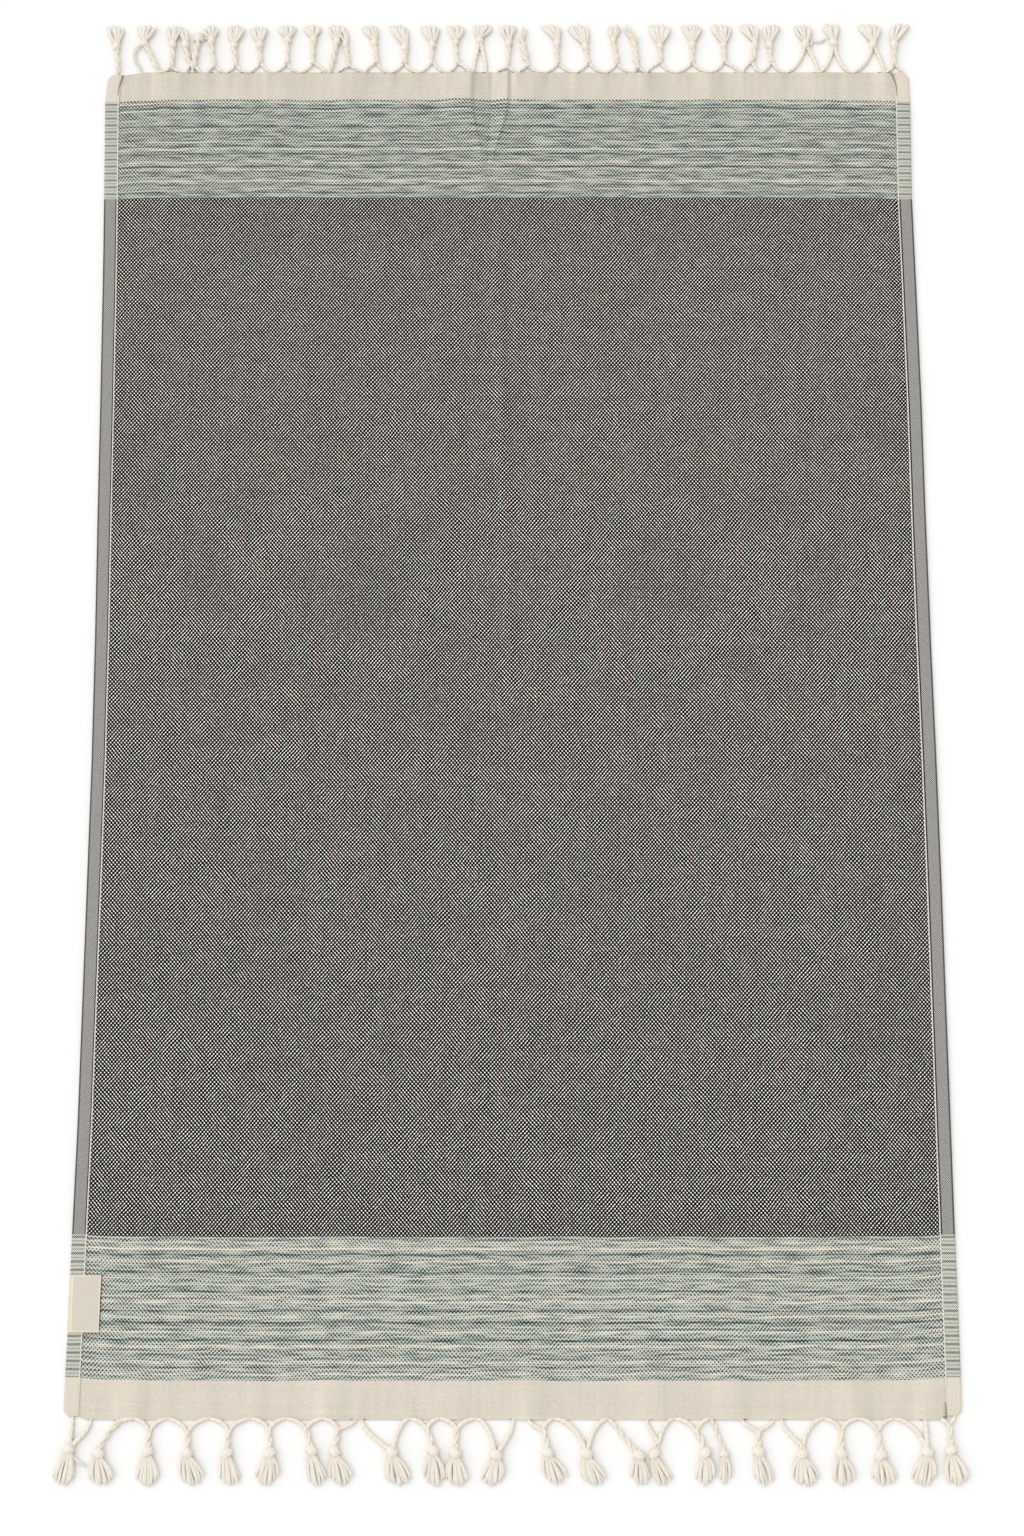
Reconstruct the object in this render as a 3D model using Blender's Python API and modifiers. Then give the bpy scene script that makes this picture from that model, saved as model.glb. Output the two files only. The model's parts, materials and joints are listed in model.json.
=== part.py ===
"""Hammam towel: a flat-woven cotton cloth with hemmed sides, knotted tassels at both ends and a blank tag.

The towel lies on the plane z = 0. +Z is up, X runs across the cloth and Y along it, towards the
upper end. The sizes and tables below are in millimetres. Places are given across from the towel's
middle line and along from the cloth's lower edge, and a tassel's also out from the edge it grows on.
"""

import math
from typing import NamedTuple

import bmesh
import bpy
import numpy as np
from mathutils import Matrix, Vector

MM = 0.001

# The cloth
LENGTH = 1640.0           # between the two fringed edges
WIDTH = 1000.0            # nominal: the side edges below are a little uneven
THICK = 1.4               # one layer of the weave
HEM_WIDE = 17.0           # the folded hem along each side
HEM_THICK = 2.7           # its layers, sewn flat
HEM_STEP = 2.5            # how soon the hem drops to one layer
COLUMN = 15.5             # spacing of the mesh across
END_ROWS = (0, 8, 20, 40, 75, 125, 190)   # mesh rows from each end, closer where the cloth ripples
BODY_ROW = 150.0          # spacing of the rows between them
CREASE_FADE = 0.25        # the share of a crease's length over which it fades out, at each end

# Where the twisted warp pulls the ends into ripples
RIPPLE_HIGH = 1.3
RIPPLE_LONG = 95.0        # how far in they fade out
RIPPLE_WAVES = (74.0, 113.0)   # two periods across, which never quite repeat

# The strip that each row of tassels grows from, and its gap to the cloth
STRIP_WIDE = 3.0
STRIP_HIGH = 2.2
STRIP_LIFT = 0.2
GAP = 0.3

# Tassels
LEG_WIDE = 4.6            # one twisted leg
STEM_WIDE = 6.0           # where two legs have joined
LEG_HIGH = 0.8            # of a strand's width
ROOT_CLEAR = 0.15         # a leg's root to the back of its strip
LEG_STEPS = 3
LEG_BEND = (0.62, 0.2)    # a leg's bend, as shares of its run along the edge and out from it
STEM_FULL = 0.4           # the share of a stem after which it has its full width
KNOT_WIDE = 14.5
KNOT_LONG = 15.0
KNOT_HIGH = 10.5
KNOT_RING = 7
KNOT_STACK = 4
LOCK_ROOT = 2.4           # a lock's width at the knot
LOCK_APART = 3.1          # spacing of the locks there
LOCK_NECK = 9.0           # from the knot's middle to where the locks are parted
LOCK_SHORTER = 2.0        # how much shorter each lock is than the one nearer the middle
LOCK_HIGH = 0.5           # of its width
LOCK_GAP = 1.3            # between the tips of neighbouring locks
ENTER_HIGH = 3.4          # where strands pass through a knot
LEVEL_IN_KNOT = 2.0       # how far from the knot's middle they start down
CLEAR_OF_KNOT = 10.0      # and how far from it they lie on the floor
STRAND_STEP = 0.1         # every other strand lies this much higher, so that no two share a plane

# The tag, folded round the left hem
TAG_FROM, TAG_TO = 90.5, 154.5
TAG_WIDE = 36.0
TAG_THICK = 0.9
TAG_ROUND = 0.6           # where it turns over the hem's edge
TAG_CROWN = 0.2           # how far its middle stands up


class Side(NamedTuple):
    """The cloth's left and right edges at a height along it."""

    along: float
    left: float
    right: float


SIDES = (
    Side(0, -494.0, 497.0),
    Side(8, -498.5, 501.5),
    Side(40, -500.0, 502.0),
    Side(130, -499.0, 501.6),
    Side(330, -496.6, 500.6),
    Side(600, -495.4, 499.6),
    Side(750, -494.6, 498.4),
    Side(900, -495.4, 496.7),
    Side(1050, -497.3, 495.5),
    Side(1200, -498.8, 495.0),
    Side(1350, -500.4, 493.4),
    Side(1475, -502.0, 491.5),
    Side(1600, -505.0, 493.3),
    Side(1632, -502.0, 494.4),
    Side(1640, -497.0, 492.0),
)


class Crease(NamedTuple):
    """A soft ridge that a fold has left, straight between two points of the cloth."""

    across_from: float
    along_from: float
    across_to: float
    along_to: float
    wide: float
    high: float


# The first two bound a flattened pleat at the upper end, and the third is the lengthwise fold below it.
CREASES = (
    Crease(-46, 1700, -36, 1500, wide=11, high=2.0),
    Crease(-8, 1700, -30, 1500, wide=11, high=2.0),
    Crease(-20, 1420, 4, 800, wide=13, high=1.4),
)
CREASED = (-64, 16)       # the cloth across which the mesh follows them
CREASE_COLUMN = 8.0


class Tassel(NamedTuple):
    """A knotted tassel. Its legs join at the fork, or at the knot where fork is reach."""

    left: float      # root of the left leg
    right: float     # root of the right leg, the same where there is one leg
    fork: float
    knot: float
    reach: float     # from the edge to the knot
    tip: float       # middle of the cut ends
    wide: float      # over the cut ends
    locks: int = 3


BOTTOM_OUT = 78.0
BOTTOM = (
    Tassel(-490, -469, 36, -493, 36, -499, 23),
    Tassel(-438, -438, 43, -460, 43, -455, 27),
    Tassel(-422, -385, 14, -405, 41, -405, 26),
    Tassel(-385, -338, 15, -361, 42, -354, 25),
    Tassel(-338, -291, 13, -317, 42, -312, 23),
    Tassel(-291, -252, 12, -269, 42, -273, 25),
    Tassel(-252, -211, 11, -223, 40, -216, 22),
    Tassel(-211, -174, 11, -197, 41, -189, 25),
    Tassel(-168, -114, 41, -133, 41, -126, 29),
    Tassel(-114, -81, 11, -88, 40, -86, 24),
    Tassel(-81, -40, 11, -63, 42, -60, 25),
    Tassel(-40, 2, 45, -18, 45, -23, 24),
    Tassel(18, 47, 12, 40, 42, 50, 23),
    Tassel(47, 107, 43, 83, 43, 93, 26),
    Tassel(107, 107, 45, 141, 45, 143, 21),
    Tassel(150, 181, 25, 158, 43, 169, 22),
    Tassel(181, 222, 14, 215, 42, 214, 20),
    Tassel(222, 222, 43, 236, 43, 236, 12, locks=2),
    Tassel(256, 292, 13, 274, 41, 280, 22),
    Tassel(300, 347, 29, 322, 43, 326, 29),
    Tassel(347, 386, 13, 366, 43, 368, 26),
    Tassel(386, 426, 14, 410, 45, 414, 28),
    Tassel(426, 461, 41, 462, 41, 456, 27),
    Tassel(472, 491, 36, 488, 36, 494, 27),
)

TOP_OUT = 66.0
TOP = (
    Tassel(-487, -487, 29, -491, 30, -492, 23),
    Tassel(-460, -438, 36, -456, 36, -455, 26),
    Tassel(-426, -426, 33, -424, 33, -422, 20),
    Tassel(-398, -398, 36, -407, 37, -402, 14, locks=2),
    Tassel(-386, -386, 41, -389, 42, -387, 8, locks=1),
    Tassel(-372, -372, 40, -373, 41, -374, 17),
    Tassel(-358, -328, 9, -344, 34, -345, 22),
    Tassel(-328, -297, 12, -314, 33, -315, 22),
    Tassel(-297, -264, 10, -279, 40, -281, 25),
    Tassel(-264, -231, 10, -247, 41, -248, 24),
    Tassel(-228, -228, 40, -221, 40, -223, 14, locks=2),
    Tassel(-212, -183, 10, -204, 37, -206, 14, locks=2),
    Tassel(-183, -152, 11, -171, 37, -179, 20),
    Tassel(-152, -117, 11, -133, 30, -143, 24),
    Tassel(-117, -81, 14, -99, 34, -103, 24),
    Tassel(-81, -53, 11, -70, 37, -71, 22),
    Tassel(-48, -32, 40, -40, 40, -37, 25),
    Tassel(-18, -18, 38, -5, 38, -5, 23),
    Tassel(8, 39, 11, 17, 40, 17, 7, locks=1),
    Tassel(39, 77, 11, 56, 36, 47, 25),
    Tassel(77, 115, 12, 91, 31, 81, 24),
    Tassel(115, 148, 11, 126, 40, 127, 16, locks=2),
    Tassel(156, 156, 40, 149, 41, 148, 9, locks=1),
    Tassel(167, 202, 11, 184, 32, 183, 28),
    Tassel(202, 245, 11, 224, 34, 223, 26),
    Tassel(245, 282, 12, 263, 33, 259, 25),
    Tassel(286, 286, 36, 301, 36, 293, 21),
    Tassel(309, 329, 14, 320, 33, 323, 18),
    Tassel(339, 380, 34, 365, 34, 361, 21),
    Tassel(380, 421, 36, 400, 36, 397, 23),
    Tassel(421, 462, 34, 449, 34, 444, 28),
    Tassel(468, 482, 11, 476, 34, 483, 24),
)


class Thread(NamedTuple):
    """A material: its colour, and how rough it is."""

    name: str
    colour: tuple
    rough: float


CHARCOAL = Thread("charcoal_weave", (0.10, 0.10, 0.10, 1), 0.9)
COTTON = Thread("cream_cotton", (0.80, 0.70, 0.56, 1), 0.9)
TAPE = Thread("tag_cotton", (0.72, 0.64, 0.54, 1), 0.85)


def smooth(edge_a, edge_b, value):
    """0 at edge_a, 1 at edge_b, and level at both."""
    t = min(max((value - edge_a) / (edge_b - edge_a), 0.0), 1.0)
    return t * t * (3.0 - 2.0 * t)


def side_edges(along):
    """The cloth's left and right edges at a height along it."""
    heights = [s.along for s in SIDES]
    return (
        np.interp(along, heights, [s.left for s in SIDES]),
        np.interp(along, heights, [s.right for s in SIDES]),
    )


def crease_share(crease, across, along):
    """How much of a crease's height the cloth has at a point: all on its line, none beside it."""
    line = Vector((crease.across_to - crease.across_from, crease.along_to - crease.along_from))
    offset = Vector((across - crease.across_from, along - crease.along_from))
    share = offset.dot(line) / line.length_squared
    beside = abs(line.normalized().cross(offset))
    ends = smooth(0.0, CREASE_FADE, share) * (1.0 - smooth(1.0 - CREASE_FADE, 1.0, share))
    return ends * (1.0 - smooth(0.0, crease.wide, beside))


def lift(across, along):
    """How far the cloth's underside is off the floor: ripples at the ends, and the creases."""
    fade = 1.0 - smooth(0.0, RIPPLE_LONG, min(along, LENGTH - along))
    waves = [math.sin(2 * math.pi * across / wave) for wave in RIPPLE_WAVES]
    ripple = RIPPLE_HIGH * fade * max(0.0, sum(waves) / len(waves))
    return ripple + max(c.high * crease_share(c, across, along) for c in CREASES)


def make_collection(name):
    """A new collection in the scene."""
    collection = bpy.data.collections.new(name)
    bpy.context.scene.collection.children.link(collection)
    return collection


def make_material(thread):
    """A matt Principled material in a thread's colour."""
    material = bpy.data.materials.new(thread.name)
    material.use_nodes = True
    shader = material.node_tree.nodes["Principled BSDF"]
    shader.inputs["Base Color"].default_value = thread.colour
    shader.inputs["Roughness"].default_value = thread.rough
    shader.inputs["Metallic"].default_value = 0.0
    return material


def add_object(name, mesh, collection, thread=None):
    """An object of this mesh in the collection, in the thread's material."""
    obj = bpy.data.objects.new(name, mesh)
    collection.objects.link(obj)
    if thread:
        mesh.materials.append(make_material(thread))
    return obj


def evaluated_mesh(obj):
    """The object's mesh as its modifiers leave it."""
    depsgraph = bpy.context.evaluated_depsgraph_get()
    return bpy.data.meshes.new_from_object(obj.evaluated_get(depsgraph))


def evenly(start, end, spacing):
    """Places from start to before end, about this far apart."""
    count = round((end - start) / spacing)
    return [start + (end - start) * i / count for i in range(count)]


def columns():
    """The mesh's columns on a cloth of even width: close together at the hems and the creases."""
    half, inner = WIDTH / 2, WIDTH / 2 - HEM_WIDE
    plain = inner - HEM_STEP
    creased_from, creased_to = CREASED
    places = [-half, -inner] + evenly(-plain, creased_from, COLUMN)
    places += evenly(creased_from, creased_to, CREASE_COLUMN) + evenly(creased_to, plain, COLUMN)
    return places + [plain, inner, half]


def rows():
    """The mesh's rows along the cloth, close together at its ends."""
    body = evenly(END_ROWS[-1], LENGTH - END_ROWS[-1], BODY_ROW)
    return list(END_ROWS[:-1]) + body + [LENGTH - along for along in reversed(END_ROWS)]


def make_cloth(collection):
    """The woven cloth, with its hems at the thickness of their folded layers."""
    across_places, along_places = columns(), rows()
    last_column, last_row = len(across_places) - 1, len(along_places) - 1
    bm = bmesh.new()
    bmesh.ops.create_grid(bm, x_segments=last_column, y_segments=last_row, size=1.0)
    layers = bm.verts.layers.deform.verify()
    for vert in bm.verts:
        column = round((vert.co.x + 1) / 2 * last_column)
        along = along_places[round((vert.co.y + 1) / 2 * last_row)]
        left, right = side_edges(along)
        across = left + (right - left) * (across_places[column] / WIDTH + 0.5)
        vert.co = Vector((across, along, lift(across, along))) * MM
        in_hem = abs(across_places[column]) > WIDTH / 2 - HEM_WIDE - HEM_STEP / 2
        vert[layers][0] = 1.0 if in_hem else THICK / HEM_THICK
    mesh = bpy.data.meshes.new("cloth")
    bm.to_mesh(mesh)
    bm.free()
    cloth = add_object("cloth", mesh, collection, CHARCOAL)
    cloth.vertex_groups.new(name="layers")
    wall = cloth.modifiers.new("layers", "SOLIDIFY")
    wall.thickness = HEM_THICK * MM
    wall.offset = 1.0
    wall.vertex_group = "layers"
    return cloth


def make_tag(collection):
    """The blank tag: over the hem, round the cloth's edge and down to the floor."""
    edge = min(side_edges(TAG_FROM)[0], side_edges(TAG_TO)[0]) - GAP - TAG_THICK / 2
    top = HEM_THICK + GAP + TAG_THICK / 2
    profile = (
        (edge, TAG_THICK),
        (edge, top - TAG_ROUND),
        (edge + TAG_ROUND, top),
        (edge + HEM_WIDE, top + TAG_CROWN),
        (edge + TAG_WIDE, top),
    )
    bm = bmesh.new()
    points = [bm.verts.new(Vector((x, TAG_FROM, z)) * MM) for x, z in profile]
    edges = [bm.edges.new(pair) for pair in zip(points, points[1:])]
    swept = bmesh.ops.extrude_edge_only(bm, edges=edges)["geom"]
    moved = [v for v in swept if isinstance(v, bmesh.types.BMVert)]
    bmesh.ops.translate(bm, verts=moved, vec=Vector((0, TAG_TO - TAG_FROM, 0)) * MM)
    bmesh.ops.recalc_face_normals(bm, faces=bm.faces)
    mesh = bpy.data.meshes.new("label")
    bm.to_mesh(mesh)
    bm.free()
    tag = add_object("label", mesh, collection, TAPE)
    wall = tag.modifiers.new("tape", "SOLIDIFY")
    wall.thickness = TAG_THICK * MM
    wall.offset = 0.0
    return tag


def make_section(name, high, collection):
    """A strand's section for a width of one: three sides, the lowest of them flat on the floor."""
    section = bpy.data.curves.new(name, "CURVE")
    section.dimensions = "2D"
    spline = section.splines.new("POLY")
    corners = ((-0.5, 0.0), (0.5, 0.0), (0.0, high))
    spline.points.add(len(corners) - 1)
    for point, (x, y) in zip(spline.points, corners):
        point.co = (x * MM, y * MM, 0, 1)
    spline.use_cyclic_u = True
    return as_cutter(add_object(name, section, collection))


def as_cutter(obj):
    """Marks an object that only shapes another."""
    obj.hide_render = True
    obj.display_type = "WIRE"
    return obj


def leg_path(root, end):
    """Points of a leg that leaves the edge almost along it and bends outwards to its end."""
    start = Vector((root, LEG_WIDE / 2 + ROOT_CLEAR - STRIP_WIDE))
    bend = Vector((root + LEG_BEND[0] * (end.x - root), LEG_BEND[1] * end.y))
    shares = [i / LEG_STEPS for i in range(LEG_STEPS + 1)]
    return [(1 - t) ** 2 * start + 2 * t * (1 - t) * bend + t * t * end for t in shares]


def leg_strands(tassel):
    """The tassel's twisted legs, each a list of (point, width)."""
    knot = Vector((tassel.knot, tassel.reach))
    if tassel.left == tassel.right:
        return [[(p, LEG_WIDE) for p in leg_path(tassel.left, knot)]]
    if tassel.fork > tassel.reach - CLEAR_OF_KNOT:
        return [[(p, LEG_WIDE) for p in leg_path(root, knot)] for root in (tassel.left, tassel.right)]
    fork = Vector(((tassel.left + tassel.right) / 2, tassel.fork))
    stem = [(fork.lerp(knot, STEM_FULL), STEM_WIDE), (knot, STEM_WIDE)]
    left, right = ([(p, LEG_WIDE) for p in leg_path(root, fork)] for root in (tassel.left, tassel.right))
    return [left + stem, right]


def lock_strands(tassel, out):
    """The locks of the tassel's brush, fanned out from its knot, each a list of (point, width)."""
    knot = Vector((tassel.knot, tassel.reach))
    spacing = tassel.wide / tassel.locks
    strands = []
    for i in range(tassel.locks):
        place = i - (tassel.locks - 1) / 2
        start = knot + Vector((place * LOCK_APART / 2, 0))
        neck = knot + Vector((place * LOCK_APART, LOCK_NECK))
        tip = Vector((tassel.tip + place * spacing, out - LOCK_SHORTER * abs(place)))
        wide = spacing - LOCK_GAP
        strands.append([(start, LOCK_ROOT / 2), (neck, LOCK_ROOT), (tip, wide)])
    return strands


def strand_height(point, knot):
    """Height of a strand's underside: on the floor, but up at the knot that it passes through."""
    return ENTER_HIGH * (1.0 - smooth(LEVEL_IN_KNOT, CLEAR_OF_KNOT, (point - knot).length))


def sweep_strands(routes, section, place, collection):
    """One mesh of strands, swept along routes given as (knot, strand) with the section's flat side down."""
    curve = bpy.data.curves.new("strands", "CURVE")
    curve.dimensions = "3D"
    curve.twist_mode = "Z_UP"
    curve.bevel_mode = "OBJECT"
    curve.bevel_object = section
    curve.use_fill_caps = True
    for i, (knot, strand) in enumerate(routes):
        spline = curve.splines.new("POLY")
        spline.points.add(len(strand) - 1)
        for point, (at, wide) in zip(spline.points, strand):
            spot = place(at, strand_height(at, knot) + STRAND_STEP * (i % 2))
            point.co = (*(spot * MM), 1)
            point.radius = wide
    sweep = add_object("strands", curve, collection)
    mesh = evaluated_mesh(sweep)
    bpy.data.objects.remove(sweep)
    return mesh


def add_knots(bm, tassels, place):
    """The tassels' knots: balls a little flattened by their weight."""
    for tassel in tassels:
        size = min(1.0, tassel.wide / KNOT_WIDE)
        half = Vector((KNOT_WIDE, KNOT_LONG, KNOT_HIGH)) * size / 2
        centre = place(Vector((tassel.knot, tassel.reach)), half.z)
        ball = bmesh.ops.create_uvsphere(bm, u_segments=KNOT_RING, v_segments=KNOT_STACK, radius=1.0)
        for vert in ball["verts"]:
            vert.co = (centre + Vector(a * b for a, b in zip(vert.co, half))) * MM


def make_fringe(name, tassels, out, place, parts, cutters):
    """A row of tassels grown from the strip along the cloth's edge, as one solid."""
    left = min(t.left for t in tassels) - LEG_WIDE / 2
    right = max(t.right for t in tassels) + LEG_WIDE / 2
    middle = place(Vector(((left + right) / 2, -STRIP_WIDE / 2)), STRIP_LIFT + STRIP_HIGH / 2)
    bm = bmesh.new()
    box = bmesh.ops.create_cube(bm, size=1.0)["verts"]
    bmesh.ops.scale(bm, verts=box, vec=Vector((right - left, STRIP_WIDE, STRIP_HIGH)) * MM)
    bmesh.ops.translate(bm, verts=box, vec=middle * MM)
    strip_mesh = bpy.data.meshes.new(name)
    bm.to_mesh(strip_mesh)
    bm.free()
    fringe = add_object(name, strip_mesh, parts, COTTON)

    legs = [(Vector((t.knot, t.reach)), s) for t in tassels for s in leg_strands(t)]
    locks = [(Vector((t.knot, t.reach)), s) for t in tassels for s in lock_strands(t, out)]
    bm = bmesh.new()
    for routes, high in ((legs, LEG_HIGH), (locks, LOCK_HIGH)):
        section = make_section("strand_section", high, cutters)
        bm.from_mesh(sweep_strands(routes, section, place, cutters))
    bmesh.ops.remove_doubles(bm, verts=bm.verts, dist=0.01 * MM)
    add_knots(bm, tassels, place)
    bmesh.ops.recalc_face_normals(bm, faces=bm.faces)
    tassel_mesh = bpy.data.meshes.new(name + "_tassels")
    bm.to_mesh(tassel_mesh)
    bm.free()
    tassel_row = as_cutter(add_object(name + "_tassels", tassel_mesh, cutters))

    joined = fringe.modifiers.new("tassels", "BOOLEAN")
    joined.operation = "UNION"
    joined.solver = "EXACT"
    joined.use_self = True
    joined.object = tassel_row
    return fringe


def below(point, height):
    """A tassel's point, given across and out from the lower edge, in the towel's own frame."""
    return Vector((point.x, -GAP - STRIP_WIDE - point.y, height))


def above(point, height):
    """The same for a tassel of the upper edge."""
    return Vector((point.x, LENGTH + GAP + STRIP_WIDE + point.y, height))


def centre_on_floor(objects):
    """Moves the meshes so that the middle of their box, at its lowest, is the origin."""
    bpy.context.view_layer.update()
    corners = []
    for obj in objects:
        mesh = evaluated_mesh(obj)
        corners += [v.co.copy() for v in mesh.vertices]
    low = Vector(min(c[i] for c in corners) for i in range(3))
    high = Vector(max(c[i] for c in corners) for i in range(3))
    shift = Vector((-(low.x + high.x) / 2, -(low.y + high.y) / 2, -low.z))
    for obj in bpy.data.objects:
        if obj.type == "MESH":
            obj.data.transform(Matrix.Translation(shift))


def main():
    """Builds the towel."""
    for obj in list(bpy.data.objects):
        bpy.data.objects.remove(obj)
    parts = make_collection("hammam_towel")
    cutters = make_collection("shapers")
    make_cloth(parts)
    make_tag(parts)
    make_fringe("fringe_bottom", BOTTOM, BOTTOM_OUT, below, parts, cutters)
    make_fringe("fringe_top", TOP, TOP_OUT, above, parts, cutters)
    centre_on_floor(parts.objects)


main()
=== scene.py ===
"""Looks of the hammam towel: its woven cloth, sewn hems, knotted tassels and blank tag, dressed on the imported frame.

Lengths are in millimetres unless a name or a docstring says metres. A place on the towel is given across from its
middle line and along from the cloth's lower edge, and a tassel's place also out from the edge it grows on.
"""

import json
import logging
import math
from collections.abc import Iterable, Sequence
from dataclasses import dataclass, field
from enum import Enum
from typing import NamedTuple

import bpy
import numpy as np
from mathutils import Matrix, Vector

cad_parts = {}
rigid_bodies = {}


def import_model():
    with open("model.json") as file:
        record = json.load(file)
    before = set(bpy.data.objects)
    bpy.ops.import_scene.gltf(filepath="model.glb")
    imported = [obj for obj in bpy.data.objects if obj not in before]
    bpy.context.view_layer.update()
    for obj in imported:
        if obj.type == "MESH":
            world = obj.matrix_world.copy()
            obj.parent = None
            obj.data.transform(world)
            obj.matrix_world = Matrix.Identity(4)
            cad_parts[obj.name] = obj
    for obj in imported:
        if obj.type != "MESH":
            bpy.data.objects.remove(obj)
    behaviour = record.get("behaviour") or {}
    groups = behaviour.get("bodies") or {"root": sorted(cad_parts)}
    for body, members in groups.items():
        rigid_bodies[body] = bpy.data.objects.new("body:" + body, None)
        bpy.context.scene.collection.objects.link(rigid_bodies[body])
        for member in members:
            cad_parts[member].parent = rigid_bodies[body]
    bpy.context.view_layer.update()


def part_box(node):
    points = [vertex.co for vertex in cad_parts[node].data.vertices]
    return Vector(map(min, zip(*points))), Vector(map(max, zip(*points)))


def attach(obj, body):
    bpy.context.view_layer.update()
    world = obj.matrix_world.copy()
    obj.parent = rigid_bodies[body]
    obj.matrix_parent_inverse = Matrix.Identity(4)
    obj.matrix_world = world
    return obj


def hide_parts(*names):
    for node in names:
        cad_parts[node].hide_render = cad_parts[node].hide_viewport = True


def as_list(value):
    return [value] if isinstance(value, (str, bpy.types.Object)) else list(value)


log = logging.getLogger("hammam_towel")

MM = 0.001
BODY = "root"
FULL_TURN = 2 * math.pi
UPWARDS = (0.0, 0.0, 1.0)
Colour = tuple[float, float, float]
Span = tuple[float, float]


# ---- The towel's measures ----


class Side(NamedTuple):
    """The cloth's left and right edges at a height along it."""

    along: float
    left: float
    right: float


SIDES = (
    Side(0, -500.6, 501.8),
    Side(40, -499.8, 501.8),
    Side(90, -498.8, 501.5),
    Side(163, -498.0, 501.0),
    Side(330, -495.4, 500.2),
    Side(600, -494.0, 499.2),
    Side(750, -493.3, 498.0),
    Side(900, -494.1, 496.3),
    Side(1050, -495.9, 495.1),
    Side(1200, -497.3, 494.6),
    Side(1350, -499.0, 493.0),
    Side(1475, -501.1, 491.2),
    Side(1600, -503.8, 492.6),
    Side(1640, -501.6, 492.0),
)
WIDEST_LEFT = -505.0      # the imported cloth's own left side


class Crease(NamedTuple):
    """A soft ridge that a fold has left, straight between two points of the cloth."""

    across_from: float
    along_from: float
    across_to: float
    along_to: float
    wide: float
    high: float


CREASES = (
    Crease(-20, 1420, 4, 800, wide=13, high=0.8),
    Crease(-150, 872, 290, 866, wide=14, high=0.45),
    Crease(-330, 528, 180, 520, wide=16, high=0.4),
    Crease(-60, 392, 400, 398, wide=16, high=0.35),
    Crease(-251, 1060, -244, 720, wide=14, high=0.35),
)


class Knot(Enum):
    """How a tassel is tied."""

    BALL = "wound into a ball"
    LOOSE = "one loose turn"
    FRAYED = "a frayed ball"
    UNTIED = "twisted to its end"


class Tassel(NamedTuple):
    """A tassel. Its legs join at the fork, or at the knot where there is no stem between them."""

    left: float
    right: float
    fork: float
    knot: float
    reach: float
    tip: float
    wide: float
    form: Knot = Knot.BALL


BOTTOM_OUT = 76.0
BOTTOM = (
    Tassel(-490, -469, 34, -493, 34, -499, 23),
    Tassel(-440, -422, 5, -460, 39, -455, 27),
    Tassel(-422, -385, 16, -405, 37.5, -405, 26),
    Tassel(-385, -338, 17, -361, 38.5, -354, 25),
    Tassel(-338, -291, 15, -317, 38.5, -312, 23),
    Tassel(-291, -252, 14, -269, 38.5, -273, 25),
    Tassel(-252, -211, 13, -223, 36.5, -216, 22),
    Tassel(-211, -174, 13, -197, 37.5, -189, 25),
    Tassel(-168, -114, 37.5, -133, 37.5, -126, 29),
    Tassel(-114, -81, 13, -88, 36.5, -86, 24),
    Tassel(-81, -40, 13, -63, 38.5, -60, 25),
    Tassel(-40, 2, 41.5, -18, 41.5, -23, 24),
    Tassel(18, 47, 14, 40, 38.5, 50, 23),
    Tassel(47, 107, 39.5, 83, 39.5, 93, 26),
    Tassel(107, 107, 41.5, 141, 41.5, 143, 21),
    Tassel(150, 181, 27, 158, 39.5, 169, 22),
    Tassel(181, 222, 16, 215, 38.5, 214, 20),
    Tassel(222, 222, 39.5, 236, 39.5, 236, 12),
    Tassel(256, 292, 15, 274, 37.5, 280, 22),
    Tassel(300, 347, 31, 322, 39.5, 326, 29),
    Tassel(347, 386, 15, 366, 39.5, 368, 26),
    Tassel(386, 426, 16, 410, 41.5, 414, 28),
    Tassel(426, 461, 37.5, 462, 37.5, 456, 27),
    Tassel(479, 494, 8, 488, 36, 494, 27),
)

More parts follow.
